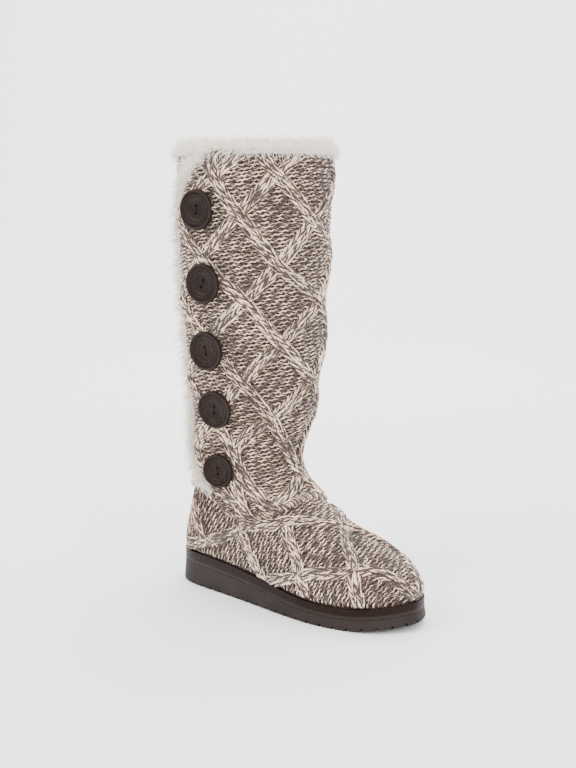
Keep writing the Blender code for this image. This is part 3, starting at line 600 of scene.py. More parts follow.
class Strands:
    """Centre lines of yarns or hairs, gathered as one mesh of edges for the tube tree."""

    def __init__(self):
        self.points = []
        self.edges = []
        self.values = {"thick": [], "along": [], "tone": []}
        self.count = 0

    def add(self, points, thick, along, tone):
        """points is strands x points x 3; the other three fit strands x points."""
        points = np.asarray(points, float)
        shape = points.shape[:2]
        index = self.count + np.arange(shape[0] * shape[1]).reshape(shape)
        self.edges.append(np.stack([index[:, :-1], index[:, 1:]], -1).reshape(-1, 2))
        self.points.append(points.reshape(-1, 3))
        for name, value in (("thick", thick), ("along", along), ("tone", tone)):
            self.values[name].append(np.broadcast_to(value, shape).ravel())
        self.count += index.size

    def mesh(self, name):
        """The lines as loose edges, with their values on the points."""
        points = np.concatenate(self.points)
        edges = np.concatenate(self.edges)
        made = bpy.data.meshes.new(name)
        made.vertices.add(len(points))
        made.vertices.foreach_set("co", points.astype(np.float32).ravel())
        made.edges.add(len(edges))
        made.edges.foreach_set("vertices", edges.astype(np.int32).ravel())
        for key, parts in self.values.items():
            layer = made.attributes.new(key, "FLOAT", "POINT")
            layer.data.foreach_set("value", np.concatenate(parts).astype(np.float32))
        made.update()
        return made

    def piece(self, name, tree, radius, sides, material, slot, replaced=()):
        """Sweep every line into a closed tube and keep the result as a plain mesh."""
        lines = new_object(name + "_lines", self.mesh(name + "_lines"))
        sweep = lines.modifiers.new("tube", "NODES")
        sweep.node_group = tree
        values = {"Radius": radius, "Sides": sides, "Finish": material}
        for item in tree.interface.items_tree:
            if item.in_out == "INPUT" and item.name in values:
                sweep[item.identifier] = values[item.name]
        lines.update_tag()
        depsgraph = bpy.context.evaluated_depsgraph_get()
        swept = bpy.data.meshes.new_from_object(lines.evaluated_get(depsgraph), preserve_all_data_layers=True,
                                                depsgraph=depsgraph)
        swept.name = name
        lines.modifiers.remove(sweep)
        bpy.data.objects.remove(lines)
        return as_piece(name, swept, material, replaced)


def tube_tree():
    """Lines to closed round tubes: "thick" scales the radius, "round" keeps each point's place round it."""
    tree = bpy.data.node_groups.new("yarn_tube", "GeometryNodeTree")
    face = tree.interface
    face.new_socket("Lines", in_out="INPUT", socket_type="NodeSocketGeometry")
    face.new_socket("Radius", in_out="INPUT", socket_type="NodeSocketFloat")
    face.new_socket("Sides", in_out="INPUT", socket_type="NodeSocketInt")
    face.new_socket("Finish", in_out="INPUT", socket_type="NodeSocketMaterial")
    face.new_socket("Tubes", in_out="OUTPUT", socket_type="NodeSocketGeometry")
    given = tree.nodes.new("NodeGroupInput").outputs
    curve = node(tree, "GeometryNodeMeshToCurve", {"Mesh": given["Lines"]})
    thick = node(tree, "GeometryNodeInputNamedAttribute", {"Name": "thick"}, data_type="FLOAT")
    circle = node(tree, "GeometryNodeCurvePrimitiveCircle",
                  {"Resolution": given["Sides"], "Radius": given["Radius"]})
    position = node(tree, "GeometryNodeInputPosition")
    outward = node(tree, "ShaderNodeVectorMath", {0: position.outputs[0]}, operation="NORMALIZE")
    profile = node(tree, "GeometryNodeStoreNamedAttribute",
                   {"Geometry": circle.outputs["Curve"], "Name": "round", "Value": outward.outputs[0]},
                   data_type="FLOAT_VECTOR", domain="POINT")
    tube = node(tree, "GeometryNodeCurveToMesh",
                {"Curve": curve.outputs[0], "Profile Curve": profile.outputs[0],
                 "Scale": thick.outputs["Attribute"], "Fill Caps": True})
    round_off = node(tree, "GeometryNodeSetShadeSmooth", {"Geometry": tube.outputs[0]})
    real = node(tree, "GeometryNodeRealizeInstances", {"Geometry": round_off.outputs[0]})
    finish = node(tree, "GeometryNodeSetMaterial", {"Geometry": real.outputs[0], "Material": given["Finish"]})
    result = tree.nodes.new("NodeGroupOutput")
    tree.links.new(finish.outputs[0], result.inputs[0])
    return tree


def node(tree, kind, inputs=None, **settings):
    """A node with its settings, and its inputs set to values or linked to sockets."""
    made = tree.nodes.new(kind)
    for key, value in settings.items():
        setattr(made, key, value)
    for key, value in (inputs or {}).items():
        if isinstance(value, bpy.types.NodeSocket):
            tree.links.new(value, made.inputs[key])
        else:
            made.inputs[key].default_value = value
    return made


# Finishes

class Finish:
    """One Principled material and short ways to add nodes to it."""

    def __init__(self, name, **values):
        self.material = bpy.data.materials.new(name)
        self.material.use_nodes = True
        self.tree = self.material.node_tree
        self.shader = self.tree.nodes["Principled BSDF"]
        for key, value in values.items():
            self.shader.inputs[key.replace("_", " ")].default_value = value
        self.place = node(self.tree, "ShaderNodeTexCoord").outputs["Object"]

    def math(self, operation, a, b=0.0, c=0.0):
        """A sum of values or sockets."""
        return node(self.tree, "ShaderNodeMath", {0: a, 1: b, 2: c}, operation=operation).outputs[0]

    def noise(self, scale, detail=2.0, rough=0.5, stretch=(1, 1, 1)):
        """Soft clouds over the piece."""
        where = self.place
        if stretch != (1, 1, 1):
            where = node(self.tree, "ShaderNodeMapping", {"Vector": where, "Scale": stretch}).outputs[0]
        return node(self.tree, "ShaderNodeTexNoise",
                    {"Vector": where, "Scale": scale, "Detail": detail, "Roughness": rough}).outputs[0]

    def cells(self, scale, feature="F1"):
        """Rounded cells over the piece."""
        return node(self.tree, "ShaderNodeTexVoronoi", {"Vector": self.place, "Scale": scale},
                    feature=feature).outputs[0]

    def attribute(self, name, output="Fac"):
        """A value kept on the mesh's points."""
        return node(self.tree, "ShaderNodeAttribute", attribute_name=name).outputs[output]

    def between(self, value, low, high, to_low=0.0, to_high=1.0):
        """A soft step from to_low at low to to_high at high."""
        return node(self.tree, "ShaderNodeMapRange",
                    {"Value": value, "From Min": low, "From Max": high, "To Min": to_low, "To Max": to_high},
                    interpolation_type="SMOOTHSTEP").outputs[0]

    def mix(self, factor, a, b):
        """Colour a at factor 0, colour b at 1."""
        made = node(self.tree, "ShaderNodeMix", {0: factor}, data_type="RGBA")
        for slot, colour in ((6, a), (7, b)):
            if isinstance(colour, bpy.types.NodeSocket):
                self.tree.links.new(colour, made.inputs[slot])
            else:
                made.inputs[slot].default_value = (*colour, 1.0)
        return made.outputs[2]

    def colour(self, socket):
        """Lead a socket to the shader's colour."""
        self.tree.links.new(socket, self.shader.inputs["Base Color"])

    def roughness(self, socket):
        """Lead a socket to the shader's roughness."""
        self.tree.links.new(socket, self.shader.inputs["Roughness"])

    def bump(self, height, distance, strength=1.0):
        """Raise the surface in shading by a height socket."""
        levels = {"Height": height, "Distance": distance, "Strength": strength}
        made = node(self.tree, "ShaderNodeBump", levels)
        self.tree.links.new(made.outputs[0], self.shader.inputs["Normal"])


# Tones
CREAM = (0.88, 0.655, 0.485)
OAT = (0.150, 0.075, 0.043)
BARK = (0.025, 0.0100, 0.0055)
# KNIT_SHADE: painted shade, the dark colour of the backing seen between the yarns
KNIT_SHADE = (0.085, 0.056, 0.042)
FLEECE_HOLLOW_SHADE = (0.78, 0.65, 0.54)
FLEECE_PALE = (0.95, 0.875, 0.795)
HAIR_ROOT_SHADE = (0.94, 0.81, 0.69)
HAIR_PALE = (0.99, 0.915, 0.845)
HAIR_WARM = (0.96, 0.845, 0.735)
SOLE_DARK = (0.0155, 0.0108, 0.0095)
SOLE_PALE = (0.0225, 0.0162, 0.0145)
SOLE_DUST = (0.045, 0.036, 0.032)
RAND_DARK = (0.0058, 0.0027, 0.0021)
RAND_PALE = (0.0100, 0.0053, 0.0044)
RAND_FOOT_DARK = (0.0170, 0.0118, 0.0104)
RAND_FOOT_PALE = (0.0235, 0.0168, 0.0150)
RAND_GLINT = (1.0, 0.82, 0.74, 1.0)
RESIN_DARK = (0.0050, 0.0024, 0.0019)
RESIN_PALE = (0.0105, 0.0060, 0.0050)
RESIN_WORN_HIGHLIGHT = (0.022, 0.0160, 0.0145)
RESIN_GLINT = (1.0, 0.82, 0.75, 1.0)
SEWING_THREAD = ((0.007, 0.0045, 0.0040), (0.022, 0.015, 0.013))
LOOSE_THREAD = ((0.55, 0.46, 0.40), (0.85, 0.78, 0.72))

# Marl: how strongly the plies differ, and how much of the yarn is pale; one yarn, paler on the raised cables
# as painted light and darker in the ground as painted shade
PLY_CONTRAST = 0.50
GROUND_PALENESS_SHADED = 0.245
CABLE_PALENESS_LIT = 0.335

# Rand
RAND_CURVE_HEIGHT = 0.05
KNURL_PACE = 3600.0
KNURL_START = 0.165
KNURL_FULL = 0.180


def marl_finish(name, paleness):
    """Two plies, cream and brown, twisted together, with slubs of either colour."""
    yarn = Finish(name, Roughness=0.95, Sheen_Weight=0.25, Sheen_Roughness=0.6)
    phase = yarn.math("MULTIPLY_ADD", yarn.attribute("along"), 2 * math.pi / PLY_PITCH,
                      yarn.math("MULTIPLY", yarn.attribute("tone"), 6.28))
    spot = node(yarn.tree, "ShaderNodeSeparateXYZ", {0: yarn.attribute("round", "Vector")}).outputs
    turn = yarn.math("MULTIPLY", yarn.math("ARCTAN2", spot[1], spot[0]), PLY_PAIRS)
    wave = yarn.math("SINE", yarn.math("ADD", turn, phase))
    slub = yarn.math("SUBTRACT", yarn.noise(170.0, 2.0), 0.5)
    fibre = yarn.math("SUBTRACT", yarn.noise(1500.0, 2.0), 0.5)
    patch = yarn.math("SUBTRACT", yarn.noise(32.0, 1.0), 0.5)
    blend = yarn.math("MULTIPLY_ADD", wave, PLY_CONTRAST, paleness)
    for cloud, weight in ((patch, 0.80), (slub, 1.5), (fibre, 0.6)):
        blend = yarn.math("MULTIPLY_ADD", cloud, weight, blend)
    dark_side = yarn.mix(yarn.between(blend, 0.10, 0.48), BARK, OAT)
    yarn.colour(yarn.mix(yarn.between(blend, 0.42, 0.80), dark_side, CREAM))
    groove = yarn.math("MULTIPLY_ADD", yarn.math("ABSOLUTE", wave), 0.7, yarn.math("MULTIPLY", fibre, 0.8))
    yarn.bump(groove, 0.0003, 0.7)
    return yarn.material


def backing_finish():
    """The knit behind the outer yarns, dark brown as painted shade so the gaps between the yarns read as
    shadow.
    """
    cloth = Finish("painted_shade_backing", Roughness=1.0)
    # painted shade: the backing is dark brown so the gaps between the yarns read as shadow
    cloth.colour(cloth.mix(cloth.between(cloth.noise(350.0, 3.0), 0.35, 0.65), BARK, KNIT_SHADE))
    cloth.bump(cloth.noise(900.0, 2.0), 0.0004)
    return cloth.material


def fleece_finish(name, scale):
    """Curly cream pile seen from above, darker in the hollows between the curls as painted shade."""
    fleece = Finish(name, Roughness=1.0, Sheen_Weight=0.5, Sheen_Roughness=0.5, Subsurface_Weight=0.2,
                    Subsurface_Scale=0.002)
    curl = fleece.noise(scale, 4.0, 0.65)
    tuft = fleece.cells(scale * 0.6, "SMOOTH_F1")
    height = fleece.math("SUBTRACT", curl, fleece.math("MULTIPLY", tuft, 0.5))
    # painted shade: the colour darkens where the bump is low, in the hollows between curls
    fleece.colour(fleece.mix(fleece.between(height, 0.0, 0.45), FLEECE_HOLLOW_SHADE, FLEECE_PALE))
    fleece.bump(height, 0.0022)
    return fleece.material


def hair_finish():
    """Fine cream hairs, warmer and darker at the root as painted shade among the hairs."""
    hair = Finish("pile_hair", Roughness=0.85, Sheen_Weight=0.3, Subsurface_Weight=0.25,
                  Subsurface_Scale=0.003)
    tip = hair.between(hair.attribute("along"), 0.0, 0.9)
    tone = hair.between(hair.attribute("tone"), 0.0, 1.0, 0.0, 0.35)
    # painted shade: each hair darkens from tip to root, where it lies among the others
    hair.colour(hair.mix(tip, HAIR_ROOT_SHADE, hair.mix(tone, HAIR_PALE, HAIR_WARM)))
    return hair.material


def sole_finish():
    """Matt moulded rubber with a fine grain and a little dust on its faces."""
    rubber = Finish("outsole_rubber", Roughness=0.70, Specular_IOR_Level=0.15)
    cloud = rubber.between(rubber.noise(28.0, 4.0, 0.6), 0.35, 0.70)
    grain = rubber.noise(1600.0, 3.0, 0.6)
    dust = rubber.between(rubber.noise(260.0, 5.0, 0.7), 0.60, 0.80, 0.0, 0.45)
    rubber.colour(rubber.mix(dust, rubber.mix(cloud, SOLE_DARK, SOLE_PALE), SOLE_DUST))
    rubber.roughness(rubber.between(grain, 0.3, 0.7, 0.52, 0.74))
    rubber.bump(grain, 0.00025, 0.8)
    return rubber.material


def above_rand_foot(rubber, x, z):
    """Height over the line between the rand's pale foot and its dark upper part."""
    level = node(rubber.tree, "ShaderNodeFloatCurve",
                 {"Factor": 1.0, "Value": rubber.math("DIVIDE", rubber.math("ADD", x, HEEL_CENTRE), LENGTH)})
    curve = level.mapping.curves[0]
    shares = np.linspace(0.0, 1.0, 11)
    heights = (tread_top(shares * LENGTH) + RAND_FOOT) / RAND_CURVE_HEIGHT
    for end in (0, -1):
        curve.points[end].location = (shares[end], heights[end])
    for share, height in zip(shares[1:-1], heights[1:-1]):
        curve.points.new(share, height)
    level.mapping.update()
    return rubber.math("SUBTRACT", z, rubber.math("MULTIPLY", level.outputs[0], RAND_CURVE_HEIGHT))


def rand_finish():
    """Darker satin rubber with a knurl round the toe; its foot is in the outsole's paler tone."""
    rubber = Finish("rand_rubber", Roughness=0.52, Specular_IOR_Level=0.12, Specular_Tint=RAND_GLINT)
    cloud = rubber.between(rubber.noise(40.0, 4.0, 0.6), 0.35, 0.70)
    grain = rubber.noise(1100.0, 3.0, 0.6)
    x, y, z = node(rubber.tree, "ShaderNodeSeparateXYZ", {0: rubber.place}).outputs
    upper_part = rubber.between(above_rand_foot(rubber, x, z), -0.0002, 0.0003)
    foot = rubber.mix(cloud, RAND_FOOT_DARK, RAND_FOOT_PALE)
    rubber.colour(rubber.mix(upper_part, foot, rubber.mix(cloud, RAND_DARK, RAND_PALE)))
    toe = rubber.math("MULTIPLY", rubber.between(x, KNURL_START, KNURL_FULL), upper_part)
    waves = [rubber.math("SINE", rubber.math("MULTIPLY", axis, KNURL_PACE)) for axis in (y, z)]
    knurl = rubber.math("MULTIPLY", *waves)
    height = rubber.math("MULTIPLY_ADD", rubber.math("MULTIPLY", knurl, toe), 0.45, grain)
    rubber.roughness(rubber.between(grain, 0.3, 0.7, 0.38, 0.58))
    rubber.bump(height, 0.0003, 0.7)
    return rubber.material


def button_finish():
    """Dark brown resin: turned rings, faint cloud, and paler rings at the rim and the dish's edge that are
    part wear and part painted highlight.
    """
    resin = Finish("button_resin", Roughness=0.48, Specular_IOR_Level=0.16, Specular_Tint=RESIN_GLINT)
    cloud = resin.between(resin.noise(120.0, 4.0, 0.6), 0.3, 0.75)
    streak = resin.noise(900.0, 3.0, 0.6, (1, 1, 0.25))
    worn_highlight = resin.between(resin.attribute("wear_and_highlight"), 0.3, 1.0, 0.0, 0.6)
    # painted highlight with some wear: paler rings at the rim and the dish's edge on the top face
    resin.colour(resin.mix(worn_highlight, resin.mix(cloud, RESIN_DARK, RESIN_PALE), RESIN_WORN_HIGHLIGHT))
    resin.roughness(resin.between(streak, 0.3, 0.7, 0.34, 0.56))
    resin.bump(streak, 0.00012, 0.6)
    return resin.material


def thread_finish(name, dark, light):
    """Plain spun thread between two tones."""
    thread = Finish(name, Roughness=0.9, Specular_IOR_Level=0.1)
    thread.colour(thread.mix(thread.between(thread.noise(2400.0), 0.35, 0.65), dark, light))
    return thread.material


# Cable routes

def route(turn, ring, crossing=1.0):
    """One cable's centre line over the skin, with its lengths and the steps that lead across it.

    crossing is 0 where another cable crosses, and 1 a full crossing away or where none does.
    """
    points = skin(turn, ring)
    ahead = unit(np.gradient(points, axis=0))
    across = unit(np.cross(look_up(grid_normal, turn, ring), ahead))
    du = look_up(grid_round, turn, ring)
    dv = look_up(grid_up, turn, ring)
    uu, uv, vv = (du * du).sum(1), (du * dv).sum(1), (dv * dv).sum(1)
    cu, cv = (across * du).sum(1), (across * dv).sum(1)
    det = uu * vv - uv * uv
    return {"turn": turn, "ring": ring, "points": points, "length": lengths_along(points),
            "turn_across": (cu * vv - cv * uv) / det, "ring_across": (cv * uu - cu * uv) / det,
            "crossing": np.broadcast_to(crossing, turn.shape)}


def crossing_height(down):
    """Height of a row of crossings of the plain lattice."""
    return COLLAR_HEIGHT - FIRST_CROSSING_DROP - down * DIAMOND_HALF_RISE


def crossings_down(height):
    """Rows of crossings from the first one down to a height."""
    return (COLLAR_HEIGHT - FIRST_CROSSING_DROP - height) / DIAMOND_HALF_RISE


def even_place(across, down):
    """Column, turn and ring of the plain lattice."""
    ring = ring_at_height(crossing_height(down))
    column = (across - 1) * CELLS_PER_HALF_DIAMOND
    return column, column_turn(np.clip(column, 0, SHAFT_COLUMNS), ring), ring


def lattice_place(across, down):
    """Column, turn and ring of the lattice, moved so that the crossings on show meet where they should."""
    column, turn, ring = even_place(across, down)
    u, v = (across + down) / 2, (across - down) / 2
    for a, d, seen_turn, seen_ring in zip(*CROSSINGS.values()):
        part = np.clip(1 - np.abs(u - (a + d) / 2), 0, 1) * np.clip(1 - np.abs(v - (a - d) / 2), 0, 1)
        true_turn, true_ring = even_place(a, d)[1:]
        turn = turn + part * (seen_turn - true_turn)
        ring = ring + part * (seen_ring - true_ring)
    return column, turn, ring


def shaft_routes(rising):
    """The cables of the shaft that lean one way, from the collar down to the hem."""
    lowest = crossings_down(height_of_ring(LOWEST_CABLE_RING))
    down = np.arange(crossings_down(COLLAR_HEIGHT), lowest, ROUTE_STEP)
    found = []
    for even in range(-16, 24, 2):
        across = even - down if rising else even + down
        column, turn, ring = lattice_place(across, down)
        ring = np.clip(ring, 0, LAST_RING)
        inside = (column > -0.2) & (column < SHAFT_COLUMNS - 0.6) & (ring > hem_ring(turn) + 0.02)
        if inside.sum() > SHORTEST_ROUTE:
            first, last = np.flatnonzero(inside)[[0, -1]]
            part = slice(first, last + 1)
            crossing = np.abs(np.mod(across[part] + 0.5, 1.0) - 0.5)
            found.append(route(turn[part], ring[part], crossing))
    return found


def foot_routes():
    """The foot's cables on the outer side and their mirror images on the inner side."""
    found = []
    for path in FOOT_CABLES:
        turns, rings = np.array(path).T
        fine = np.linspace(0, len(path) - 1, 160)
        turn = smooth(np.arange(len(path)), turns, fine)
        ring = smooth(np.arange(len(path)), rings, fine)
        inside = ring < hem_ring(turn) - FOOT_HEM_MARGIN
        for each in (turn[inside], 1 - turn[inside]):
            found.append(route(each, ring[inside]))
    return found


def tree_of(routes):
    """Search tree over the centre lines of cables."""
    points = np.concatenate([line["points"] for line in routes])
    tree = KDTree(len(points))
    for i, point in enumerate(points):
        tree.insert(point, i)
    tree.balance()
    return tree


def distance_to(tree, points):
    """Distance from each point to the nearest cable's centre line."""
    flat = points.reshape(-1, 3)
    return np.array([tree.find(point)[2] for point in flat]).reshape(points.shape[:-1])


# Knitting

def lay_row(strands, turn, ring, lift, keep, rng, parity):
    """One wavy row of ground stitches along a line on the skin, in runs where keep is true."""
    length = lengths_along(skin(turn, ring))
    count = int(length[-1] / STITCH_WIDTH * POINTS_PER_STITCH)
    if count < SHORTEST_RUN:
        return
    s = np.linspace(0.0, length[-1], count)
    t = np.interp(s, length, turn)
    r = np.interp(s, length, ring)
    kept = np.interp(s, length, keep.astype(float)) > 0.5
    knots = np.arange(0, length[-1] + 0.03, DRIFT_PITCH)
    phase = 2 * np.pi * s / STITCH_WIDTH + np.pi * parity + rng.normal(0, PHASE_JITTER)
    phase = phase + np.interp(s, knots, rng.normal(0, PHASE_DRIFT, len(knots)))
    wander = np.interp(s, knots, rng.normal(0, ROW_WANDER, len(knots)))
    size = 1 + SWELL * np.sin(s * SWELL_PACE + rng.uniform(0, 6)) * rng.uniform(0.3, 1)
    up = ROW_WAVE * size * np.cos(phase) + wander
    starts_at_rim = r[0] < 0.1
    if starts_at_rim:
        up = up - RIM_REACH * np.exp(-s / RIM_FADE)
    height = lift(t, r) + GROUND_LEVEL + ROW_BUMP * np.cos(2 * phase) + rng.normal(0, ROW_ROUGHNESS, count)
    spots = place(t, r, height, up)
    edges = np.flatnonzero(np.diff(np.concatenate([[0], kept.astype(int), [0]])))
    for first, last in zip(edges[::2], edges[1::2]):
        if last - first >= SHORTEST_RUN:
            thick = np.ones(last - first)
            thick[[0, -1]] = RUN_END_THICKNESS
            along = s[first:last] + rng.uniform(0, 1)
            strands.add(spots[None, first:last], thick, along, rng.uniform())


def shaft_rows(cables):
    """Ground rows of the shaft at an equal pitch down every wale, in an upper and a lower lot."""
    rng = np.random.default_rng(11)
    lots = [Strands(), Strands()]
    rings = np.linspace(LAST_RING, 4.6, 500)
    turn = np.linspace(0.10, 1.36, 1600)
    wales = skin(turn[None, :], rings[:, None])
    depth = np.cumsum(np.linalg.norm(np.diff(wales, axis=0), axis=-1), axis=0)
    depth = np.concatenate([np.zeros((1, len(turn))), depth])
    levels = np.arange(ROW_PITCH / 2, depth.max(), ROW_PITCH)
    found = np.array([np.interp(levels, column, rings, right=0.0) for column in depth.T]).T
    for index, ring in enumerate(found):
        on_flap = turn > flap_edge(ring) + FLAP_MARGIN
        on_back = turn - 1 < flap_edge(ring) - FLAP_MARGIN
        keep = on_flap & on_back & (ring > hem_ring(turn) + SHAFT_HEM_MARGIN)
        if keep.any():
            keep &= distance_to(cables, skin(turn, ring)) > CABLE_CLEAR
            lot = lots[0] if levels[index] < UPPER_LOT_DEPTH else lots[1]
            lay_row(lot, turn, ring, shaft_lift, keep, rng, index % 2)
    return lots


def change(turn, start, span):
    """Soft change from 0 to 1 that starts at a turn and takes a span."""
    return ease((turn - start) / span)


def foot_row_turns(turn, rings, levels):
    """Turn of every foot row at each ring, on the outer side; not a number where a row isn't there."""
    flat = outline(turn)
    arc = lengths_along(flat)
    front = change(turn, *HEEL_CHANGE)
    lean = FOOT_ROW_LEAN * change(turn, *LEAN_CHANGE)
    toe_lean = (TOE_ROW_LEAN - FOOT_ROW_LEAN) * change(turn, *TOE_CHANGE)
    steep = math.hypot(1.0, FOOT_ROW_LEAN)
    start = np.interp(HEEL_MEETING, turn, (flat[:, 0] - HEEL_CENTRE) / steep - arc)
    found = np.full((len(rings), len(levels)), np.nan)
    for j, ring in enumerate(rings):
        here = skin(turn, np.full(len(turn), ring))
        climb = here[:, 2] - rand_top(here[:, 0] + HEEL_CENTRE)
        drop = (lean + toe_lean * (1 - ease(climb / TOE_LEAN_HEIGHT))) * climb
        value = front * (here[:, 0] - drop) / steep + (1 - front) * (arc + start - drop)
        value = np.maximum.accumulate(value + np.arange(len(turn)) * 1e-9)
        inside = (levels > value[0]) & (levels < value[-1])
        found[j, inside] = np.interp(levels[inside], value, turn)
    return found


def foot_rows(cables):
    """Ground rows of the foot: upright round the heel, then leaning over the instep and toe."""
    rng = np.random.default_rng(12)
    strands = Strands()
    rings = np.linspace(0.05, 7.1, 1500)
    levels = np.arange(-0.09, 0.26, FOOT_ROW_PITCH)
    found = foot_row_turns(np.linspace(0.0, 0.5, 700), rings, levels)
    for index in range(len(levels)):
        here = np.flatnonzero(np.isfinite(found[:, index]))
        if len(here) < SHORTEST_FOOT_ROW:
            continue
        turn, ring = found[here, index], rings[here]
        below = ring < hem_ring(turn) - FOOT_HEM_MARGIN
        over_top = turn[-1] > OVER_INSTEP and below[-1]
        turn, ring = turn[below], ring[below]
        if over_top:
            sides = [(np.concatenate([turn, 1 - turn[::-1]]), np.concatenate([ring, ring[::-1]]))]
        else:
            sides = [(turn, ring), (1 - turn, ring)]
        for turns, ring in sides:
            if len(turns) > FEWEST_ROW_POINTS:
                clear = distance_to(cables, skin(turns, ring)) > CABLE_CLEAR
                lay_row(strands, turns, ring, foot_lift, clear | (ring < RIM_RINGS), rng, index % 2)
    return strands


def lay_cable(strands, line, lift, rng, over):
    """V stitches in side-by-side columns along a route.

    over is 1 for a cable that rides over the others, -1 for one that dips and parts under them, else 0.
    """
    starts = np.arange(0.0, line["length"][-1] - CABLE_LEG * 0.85, CABLE_STITCH)
    if len(starts) < 2:
        return
    column = (np.arange(CABLE_COLUMNS) - (CABLE_COLUMNS - 1) / 2) * CABLE_COLUMN_WIDTH
    side = np.array([-1.0, 1.0])
    t = np.linspace(0.0, 1.0, CABLE_LEG_POINTS)
    legs = (len(starts), CABLE_COLUMNS, len(side), 1)
    jitter = rng.normal(0, CABLE_LEG_JITTER, legs)
    stagger = (np.arange(CABLE_COLUMNS) % 2 * CABLE_STITCH / 2)[None, :, None, None]
    a = starts[:, None, None, None] + stagger + CABLE_LEG * t + jitter
    spread = CABLE_COLUMN_WIDTH / 2 * (0.92 - 0.72 * t)
    b = column[None, :, None, None] + side[:, None] * spread + rng.normal(0, CABLE_LEG_WANDER, legs)
    a, b = np.broadcast_arrays(a, b)

    def along_route(name):
        return np.interp(a, line["length"], line[name])

    turn = along_route("turn") + b * along_route("turn_across")
    ring = np.clip(along_route("ring") + b * along_route("ring_across"), 0.0, LAST_RING)
    gap = along_route("crossing") * CROSSING_SPACING
    rise = CABLE_RISE + over * CROSSING_RISE * ease(1 - gap / CROSSING_REACH)
    half = CABLE_COLUMNS * CABLE_COLUMN_WIDTH / 2
    dome = rise * np.sqrt(np.clip(1.12 - (b / half) ** 2, 0.05, 1)) * ease(ring / RIM_RINGS)
    arch = 0.0011 * np.sin(np.pi * t) - 0.0012 * (t > 0.9) - 0.0007 * (t < 0.1)
    points = place(turn, ring, lift(turn, ring) + GROUND_LEVEL + dome + arch)
    whole = (gap[..., len(t) // 2] > CROSSING_GAP) | (over >= 0)
    points = points[whole & (ring.min(axis=-1) > CABLE_LAST_RING)]
    thick = CABLE_YARN * np.interp(t, (0, 0.2, 0.8, 1), (0.72, 1.05, 1.0, 0.45))
    tone = rng.uniform(size=(len(points), 1))
    along = CABLE_LEG * t * CABLE_TWIST + rng.uniform(0, 1, (len(points), 1))
    strands.add(points, thick, along, tone)


def lay_cables(routes, lift, over, seed):
    """Stitches along a set of routes."""
    rng = np.random.default_rng(seed)
    strands = Strands()
    for line in routes:
        lay_cable(strands, line, lift, rng, over)
    return strands


def hem_of_columns(column):
    """Ring of the hem at each column of the knit."""
    ring = np.full(len(column), 6.0)
    for _ in range(6):
        ring = hem_ring(column_turn(column, ring))
    return ring


def wrap_yarns(strands, spots, t, rng):
    """Short yarns through rows of spots, thinner at both ends."""
    each = (len(spots), 1)
    thick = np.interp(t, (0, 0.2, 1), (0.6, 1.05, 0.8))
    strands.add(spots, thick, t * 0.01 + rng.uniform(0, 1, each), rng.uniform(size=each))


def roll_hem(strands, t, rng):
    """Pairs of leaning yarns that wrap over the shaft's hem."""
    over = -HEM_WRAP + HEM_WRAP * np.minimum(1, t * 1.35)
    drop = np.interp(t, (0, 0.55, 0.8, 1), (0.0008, 0.0012, -0.0003, -0.0034))
    column = np.linspace(0, SHAFT_COLUMNS, 1200)
    hem = hem_of_columns(column)
    turn = column_turn(column, hem)
    length = lengths_along(skin(turn, hem))
    s = np.arange(0.001, length[-1], HEM_WRAP_PITCH)
    for offset, lean in ((0.0, -0.0012), (HEM_WRAP_PITCH / 2, 0.0012)):
        u = np.interp(s + offset, length, turn)[:, None]
        r = np.interp(s + offset, length, hem)[:, None]
        slope = rng.normal(0, 0.0004, (len(s), 1)) + lean
        height = shaft_lift(u, r) + GROUND_LEVEL + drop
        wrap_yarns(strands, place(u + slope * 3 * (t - 0.5), r, height, -over - 0.0004), t, rng)


def roll_flap(strands, t, rng):
    """Yarns that wrap over the flap's free edge."""
    ring = np.linspace(5.35, LAST_RING - 0.02, 2500)
    turn = flap_edge(ring)
    length = lengths_along(skin(turn, ring))
    s = np.arange(0.001, length[-1], FLAP_WRAP_PITCH)
    r = np.interp(s, length, ring)[:, None]
    u = np.interp(s, length, turn)[:, None]
    pace = 1 / np.linalg.norm(look_up(grid_round, u[:, 0], r[:, 0]), axis=1)[:, None]
    inward = np.interp(t, (0, 0.55, 1), (0.0052, 0.0002, -0.0008))
    drop = np.interp(t, (0, 0.4, 0.65, 1), (0.0002, 0.0010, 0.0002, -0.0040))
    top = HEM_STEP - GROUND_SINK + FLAP_STEP + GROUND_LEVEL
    spots = place(u + inward * pace, r + rng.normal(0, 0.01, (len(s), 1)), top + drop)
    wrap_yarns(strands, spots, t, rng)


def rolled_edges():
    """Short yarns that wrap over the shaft's hem and over the flap's free edge."""
    rng = np.random.default_rng(31)
    strands = Strands()
    t = np.linspace(0.0, 1.0, WRAP_POINTS)
    roll_hem(strands, t, rng)
    roll_flap(strands, t, rng)
    return strands


# Wall, lining and pile

def wall_grid(columns, shaft_count, foot_count):
    """Turn, ring and lift of the wall's outer rows, from the collar down to the rand."""
    column = np.linspace(0, SHAFT_COLUMNS, columns + 1)
    hem = hem_of_columns(column)
    rows = []
    for share in np.linspace(0, 1, shaft_count):
        ring = LAST_RING + (hem - LAST_RING) * share
        turn = column_turn(column, ring)
        rows.append((turn, ring, HEM_STEP - GROUND_SINK + flap_height(column)))
    seam = rows[-1][0]
    even = FLAP_TURN + 0.085 + column / SHAFT_COLUMNS
    for share in np.linspace(0, 1, foot_count):
        turn = seam + (even - seam) * share
        ring = hem_ring(turn) * (1 - share)
        rows.append((turn, ring, foot_lift(turn, ring)))
    return rows


